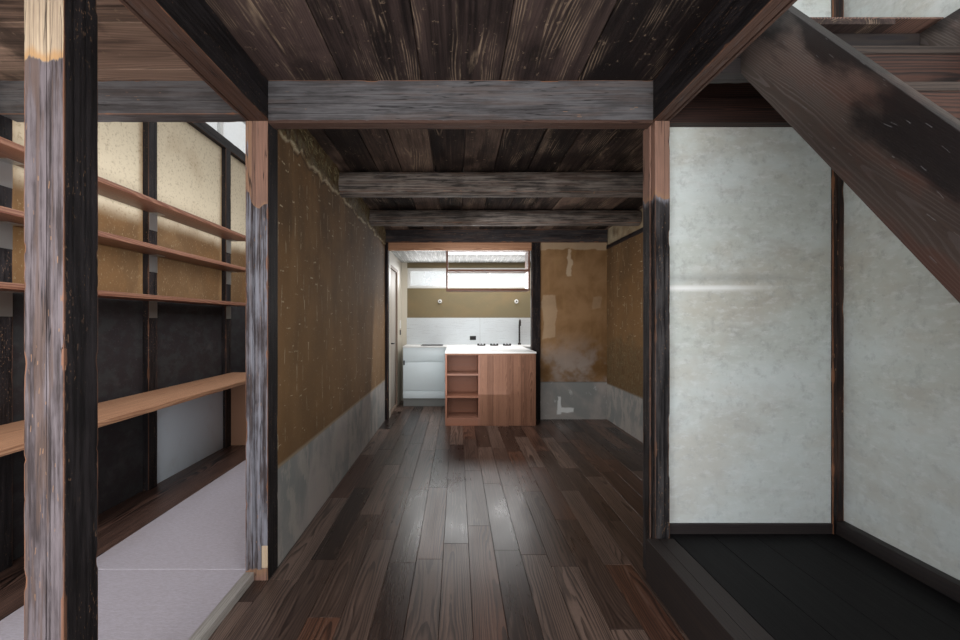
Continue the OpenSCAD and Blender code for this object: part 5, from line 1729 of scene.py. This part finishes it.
def shelf_wall_face(y, z):
    points = plane_points(y, z)
    depth = 0.0015 + 0.0012 * fractal(points, (5, 8, 1), 14)
    upper = smooth((z - FLOOR_Z - 1.98 - 0.05 * fractal(points, 3, 16)) / 0.16)
    soot = smooth((FLOOR_Z + 1.4 - z) / 0.08)
    post = np.min([np.abs(y - side) for lo, hi in solid_boxes("left_wall_posts")
                   for side in (lo[1], hi[1])], axis=0)
    border = np.clip(1 - post / 0.05 + 0.4 * fractal(points, 16, 17), 0, 1)
    return depth, {"bare": upper, "char": soot, "wear": border}


class TOWNHOUSE_OT_walls(bpy.types.Operator):
    """Plastered walls and panels"""
    bl_idname = "townhouse.walls"
    bl_label = "Walls"

    def execute(self, context):
        low = FLOOR_Z + sizes().mud_band - 0.06
        for name, node, form, material, slot in (
                ("hall_wall_plaster", "hall_left_wall", (0, 1, 0.0095, hall_face, (low, 0.007)),
                 "hall_plaster", "brown_plaster"),
                ("right_hall_plaster", "right_wall_rear", (0, -1, 0.026, right_hall_face),
                 "hall_plaster", "brown_plaster"),
                ("side_panel_plaster", "kitchen_side_panel", (1, -1, 0.0085, ochre_face),
                 "ochre_plaster", "brown_plaster"),
                ("stair_bay_plaster", "stair_bay_wall", (1, -1, 0.01, lime_face),
                 "lime_plaster", "white_plaster"),
                ("right_front_plaster", "right_wall_front",
                 (0, -1, 0.03, plain_surface(0.0012, 7)), "lime_plaster", "white_plaster"),
                ("left_panel_plaster", "left_wall_panels", (0, 1, 0.025, shelf_wall_face),
                 "shelf_wall_plaster", "tan_plaster")):
            blocks = [relief_block(lo, hi, *form) for lo, hi in solid_boxes(node)]
            settle(name, joined(blocks), material, node, crease=60)
            if node == "hall_left_wall":
                straw(low)
        rail = FLOOR_Z + sizes().rail_height
        timbers("right_wall_rail", [((RIGHT_WALL - 0.014, RIGHT_POST[1].y, rail),
                                     (RIGHT_WALL, PARTITION[0].y, rail + 0.05))], 1,
                "old_black", "old_frame", seed=39, marks=black_marks, chip=0.5)
        dress("kitchen_left_wall", "kitchen_plaster")
        dress("rear_wall_ends", "outer_plaster")
        dress("rear_wall_middle", "rear_plaster")
        return {"FINISHED"}


def scattered_tree():
    """Pieces strewn over a rectangle on the X and Y axes, turned and tilted."""
    g, given = tree_with("scattered", "Board", "Count", "Width", "Rise", "Turn", "Lift", "Seed",
                         "Material")
    index = g.out("GeometryNodeInputIndex")
    seeds = [given.Seed + float(k) for k in range(5)]
    half = given.Width * 0.5
    place = g.triple(random_float(g, half * -1, half, index, seeds[0]),
                     random_float(g, 0, given.Rise, index, seeds[1]),
                     random_float(g, 0, given.Lift, index, seeds[2]))
    turn = random_float(g, given.Turn * -1, given.Turn, index, seeds[3])
    tilt = random_float(g, -0.15, 0.15, index, seeds[4])
    toned = placed(g, given, points_at(g, given.Count, place),
                   {"Rotation": g.triple(0, tilt, turn)},
                   random_float(g, 0, 1, index, seeds[1]))
    return end_of(g, given, real(g, toned))


def coil_tree():
    """A wire wound up the Z axis."""
    g, given = tree_with("coil", "Turns", "Coil Radius", "Rise", "Wire", "Material")
    path = g.out("GeometryNodeCurveSpiral", {
        "Resolution": 20, "Rotations": given.Turns, "Start Radius": given.Coil_Radius,
        "End Radius": given.Coil_Radius, "Height": given.Rise})
    ring = g.out("GeometryNodeCurvePrimitiveCircle", {"Resolution": 6, "Radius": given.Wire})
    wire = g.out("GeometryNodeCurveToMesh", {"Curve": path, "Profile Curve": ring,
                                             "Fill Caps": True})
    return end_of(g, given, real(g, wire))


class TOWNHOUSE_OT_outside(bpy.types.Operator):
    """Boards on the party walls and over the kitchen"""
    bl_idname = "townhouse.outside"
    bl_label = "Outer boards"

    def execute(self, context):
        own = sizes()
        for name, (lo, hi), seed in zip(("left_party_boards", "right_party_boards"),
                                        solid_boxes("party_boarding"), (41, 42)):
            boarded(name, [(lo, hi)], (hi[0], lo[1], lo[2]), UPRIGHT_X,
                    (own.outer_board_min, own.outer_board_max), 6.0, 0.025, 0.003, 0.002, seed,
                    "outer_boards", "party_boarding")
        lo, hi = BOX["kitchen_ceiling"]
        boarded("kitchen_ceiling_boards", [(lo, hi)], (lo.x, lo.y, hi.z), ALONG_Y, (0.12, 0.12),
                3.0, hi.z - lo.z, 0.002, 0.001, 43, "washed_boards",
                "kitchen_ceiling")
        return {"FINISHED"}


class TOWNHOUSE_OT_windows(bpy.types.Operator):
    """Window frames and panes"""
    bl_idname = "townhouse.windows"
    bl_label = "Windows"

    def execute(self, context):
        for name, node in (("clerestory_joinery", "clerestory_frame"),
                           ("rear_window_joinery", "rear_window_frame")):
            joinery(name, node, "white_paint", ease=0.003)
        dress("window_glass", "window_glass")
        return {"FINISHED"}


class TOWNHOUSE_OT_door(bpy.types.Operator):
    """Kitchen side door with its frame, leaf and levers"""
    bl_idname = "townhouse.door"
    bl_label = "Side door"

    def execute(self, context):
        joinery("door_frame_joinery", "door_frame", "frame_timber")
        joinery("door_leaf_joinery", "door_leaf", "door_paint", body=DOOR)
        dress("door_handle", "black_metal")
        return {"FINISHED"}


class TOWNHOUSE_OT_stair(bpy.types.Operator):
    """Stringers, treads and risers"""
    bl_idname = "townhouse.stair"
    bl_label = "Stair"

    def execute(self, context):
        lo, hi = BOX["stair_stringers"]
        joinery("stringer_boards", "stair_stringers", "stringer_wood", ease=0.002,
                axis=1, slope=math.atan2(hi.z - lo.z, hi.y - lo.y))
        joinery("tread_board_set", "stair_treads", "tread_boards", ease=0.003,
                axis=0)
        joinery("riser_board_set", "stair_risers", "riser_boards", axis=0)
        return {"FINISHED"}


class TOWNHOUSE_OT_shelves(bpy.types.Operator):
    """Wall shelves, brackets and the long desk"""
    bl_idname = "townhouse.shelves"
    bl_label = "Shelves and desk"

    def execute(self, context):
        joinery("wall_shelf_boards", "wall_shelves", "shelf_wood", axis=1)
        joinery("desk_board", "desk_top", "new_wood", axis=1)
        joinery("desk_back_panel", "desk_panels", "grey_panel",
                only=lambda k: k == 0)
        joinery("desk_end_panel", "desk_panels", "red_wood", axis=2,
                only=lambda k: k == 1)
        dress("shelf_brackets", "bracket_steel")
        return {"FINISHED"}


def lamp_centres():
    """Dark middles of the two wall lamps."""
    made = []
    for lo, hi in solid_boxes("wall_lamps"):
        x, z = (lo[0] + hi[0]) / 2, (lo[2] + hi[2]) / 2
        turns = np.arange(16) * math.pi / 8
        ring = np.stack([x + 0.013 * np.cos(turns), np.zeros(16), z + 0.013 * np.sin(turns)], 1)
        verts = np.concatenate([ring + (0, lo[1] - 0.004, 0), ring + (0, lo[1] + 0.004, 0)])
        faces = [(k, (k + 1) % 16, 16 + (k + 1) % 16, 16 + k) for k in range(16)]
        faces += [tuple(range(16))[::-1], tuple(range(16, 32))]
        made.append(shape(verts, [face[::-1] for face in faces]))
    settle("lamp_centres", joined(made), "black_metal")


def tap_spring():
    """Spring wound round the riser of the tap."""
    lo, hi = BOX["kitchen_tap"]
    mesh = grown(coil_tree(), {"Turns": 34.0, "Coil Radius": 0.0135, "Rise": 0.26,
                               "Wire": 0.0018, "Material": finish_of("tap_steel")})
    mesh.transform(Matrix.Translation(((lo.x + hi.x) / 2, hi.y - 0.024, lo.z + 0.05)))
    settle("tap_spring", mesh, "tap_steel", crease=60)


def wood_unit():
    """Open bays on the left and a plank panel on the right, board by board."""
    lo, hi = BOX["wood_unit"]
    thick, bay = 0.022, 0.414
    shelves = [0.09, 0.35, 0.615]
    left, right, top = lo.x + thick, lo.x + bay - thick, hi.z - thick
    open_bays = [
        (lo, (left, hi.y, hi.z), 2),
        ((right, lo.y, lo.z), (lo.x + bay, hi.y, top), 2),
        ((left, lo.y, lo.z), (right, lo.y + thick, lo.z + shelves[0] - thick), 0),
        ((left, hi.y - thick, lo.z), (right, hi.y, top), 0),
        *(((left, lo.y, lo.z + z - thick), (right, hi.y - thick, lo.z + z), 0)
          for z in shelves)]
    start, planks = lo.x + bay, 8
    pitch = (hi.x - thick - start) / planks
    panel = [((start + k * pitch, lo.y, lo.z), (start + (k + 1) * pitch, lo.y + thick, top), 2)
             for k in range(planks)]
    panel += [((hi.x - thick, lo.y, lo.z), hi, 2),
              ((left, lo.y, top), (hi.x - thick, hi.y, hi.z), 0)]
    boards("unit_bay_boards", open_bays, "unit_inside", "wood_unit")
    boards("unit_panel_boards", panel, "unit_panel", "wood_unit", ease=0.0006)


class TOWNHOUSE_OT_kitchen(bpy.types.Operator):
    """Wood unit, cabinets, worktop, hanging shelf and fittings"""
    bl_idname = "townhouse.kitchen"
    bl_label = "Kitchen"

    def execute(self, context):
        joinery("lintel_board", "kitchen_lintel", "new_wood", ease=0.002)
        wood_unit()
        joinery("hanging_shelf_boards", "hanging_shelf", "shelf_wood", axis=0)
        joinery("cabinet_boxes", "base_cabinets", "cabinet_paint")
        joinery("worktop_slab", "worktop", "worktop", ease=0.002)
        lo, hi = BOX["splash_plate"]
        seam = 0.528
        boards("splash_sheets", [(lo, (seam - 0.001, hi.y, hi.z), 0),
                                 ((seam + 0.001, lo.y, lo.z), hi, 0)],
               "splash_steel", "splash_plate", ease=0.0006)
        run, wall = 3.0075, BOX["kitchen_left_wall"][1].x
        boards("switch_plate", [((wall, 3.295, 1.26), (wall + 0.008, 3.375, 1.38), 2)],
               "white_paint")
        boards("small_black_fittings", [
            ((wall, 3.3, 1.16), (wall + 0.01, 3.37, 1.235), 2),
            ((lo.x + 0.012, run - 0.014, 0.735), (lo.x + 0.03, run, 0.80), 2)],
            "black_metal")
        for node, material in (("kitchen_fittings", "black_metal"),
                               ("kitchen_tap", "tap_steel"), ("wall_lamps", "white_paint")):
            dress(node, material)
        lamp_centres()
        tap_spring()
        return {"FINISHED"}


class TOWNHOUSE_PT_sidebar(bpy.types.Panel):
    """Lists the groups of pieces"""
    bl_idname = "TOWNHOUSE_PT_sidebar"
    bl_label = "Townhouse"
    bl_space_type = "VIEW_3D"
    bl_region_type = "UI"
    bl_category = "Townhouse"

    def draw(self, context):
        for operator in OPERATORS:
            self.layout.operator(operator.bl_idname)


OPERATORS = [
    TOWNHOUSE_OT_stage, TOWNHOUSE_OT_base, TOWNHOUSE_OT_floors, TOWNHOUSE_OT_mats,
    TOWNHOUSE_OT_posts, TOWNHOUSE_OT_beams, TOWNHOUSE_OT_upper_floor, TOWNHOUSE_OT_walls,
    TOWNHOUSE_OT_outside, TOWNHOUSE_OT_windows, TOWNHOUSE_OT_door, TOWNHOUSE_OT_stair,
    TOWNHOUSE_OT_shelves, TOWNHOUSE_OT_kitchen]
SETTINGS = {"townhouse_colours": TownhouseColours, "townhouse_sizes": TownhouseSizes,
            "townhouse_view": TownhouseView}
CLASSES = [*SETTINGS.values(), *OPERATORS, TOWNHOUSE_PT_sidebar]


def register():
    for kind in CLASSES:
        bpy.utils.register_class(kind)
    for name, kind in SETTINGS.items():
        setattr(bpy.types.Scene, name, bpy.props.PointerProperty(type=kind))


def unregister():
    for name in SETTINGS:
        delattr(bpy.types.Scene, name)
    for kind in reversed(CLASSES):
        bpy.utils.unregister_class(kind)


def main():
    register()
    for operator in OPERATORS:
        getattr(bpy.ops.townhouse, operator.bl_idname.split(".")[1])()


if __name__ == "__main__":
    main()
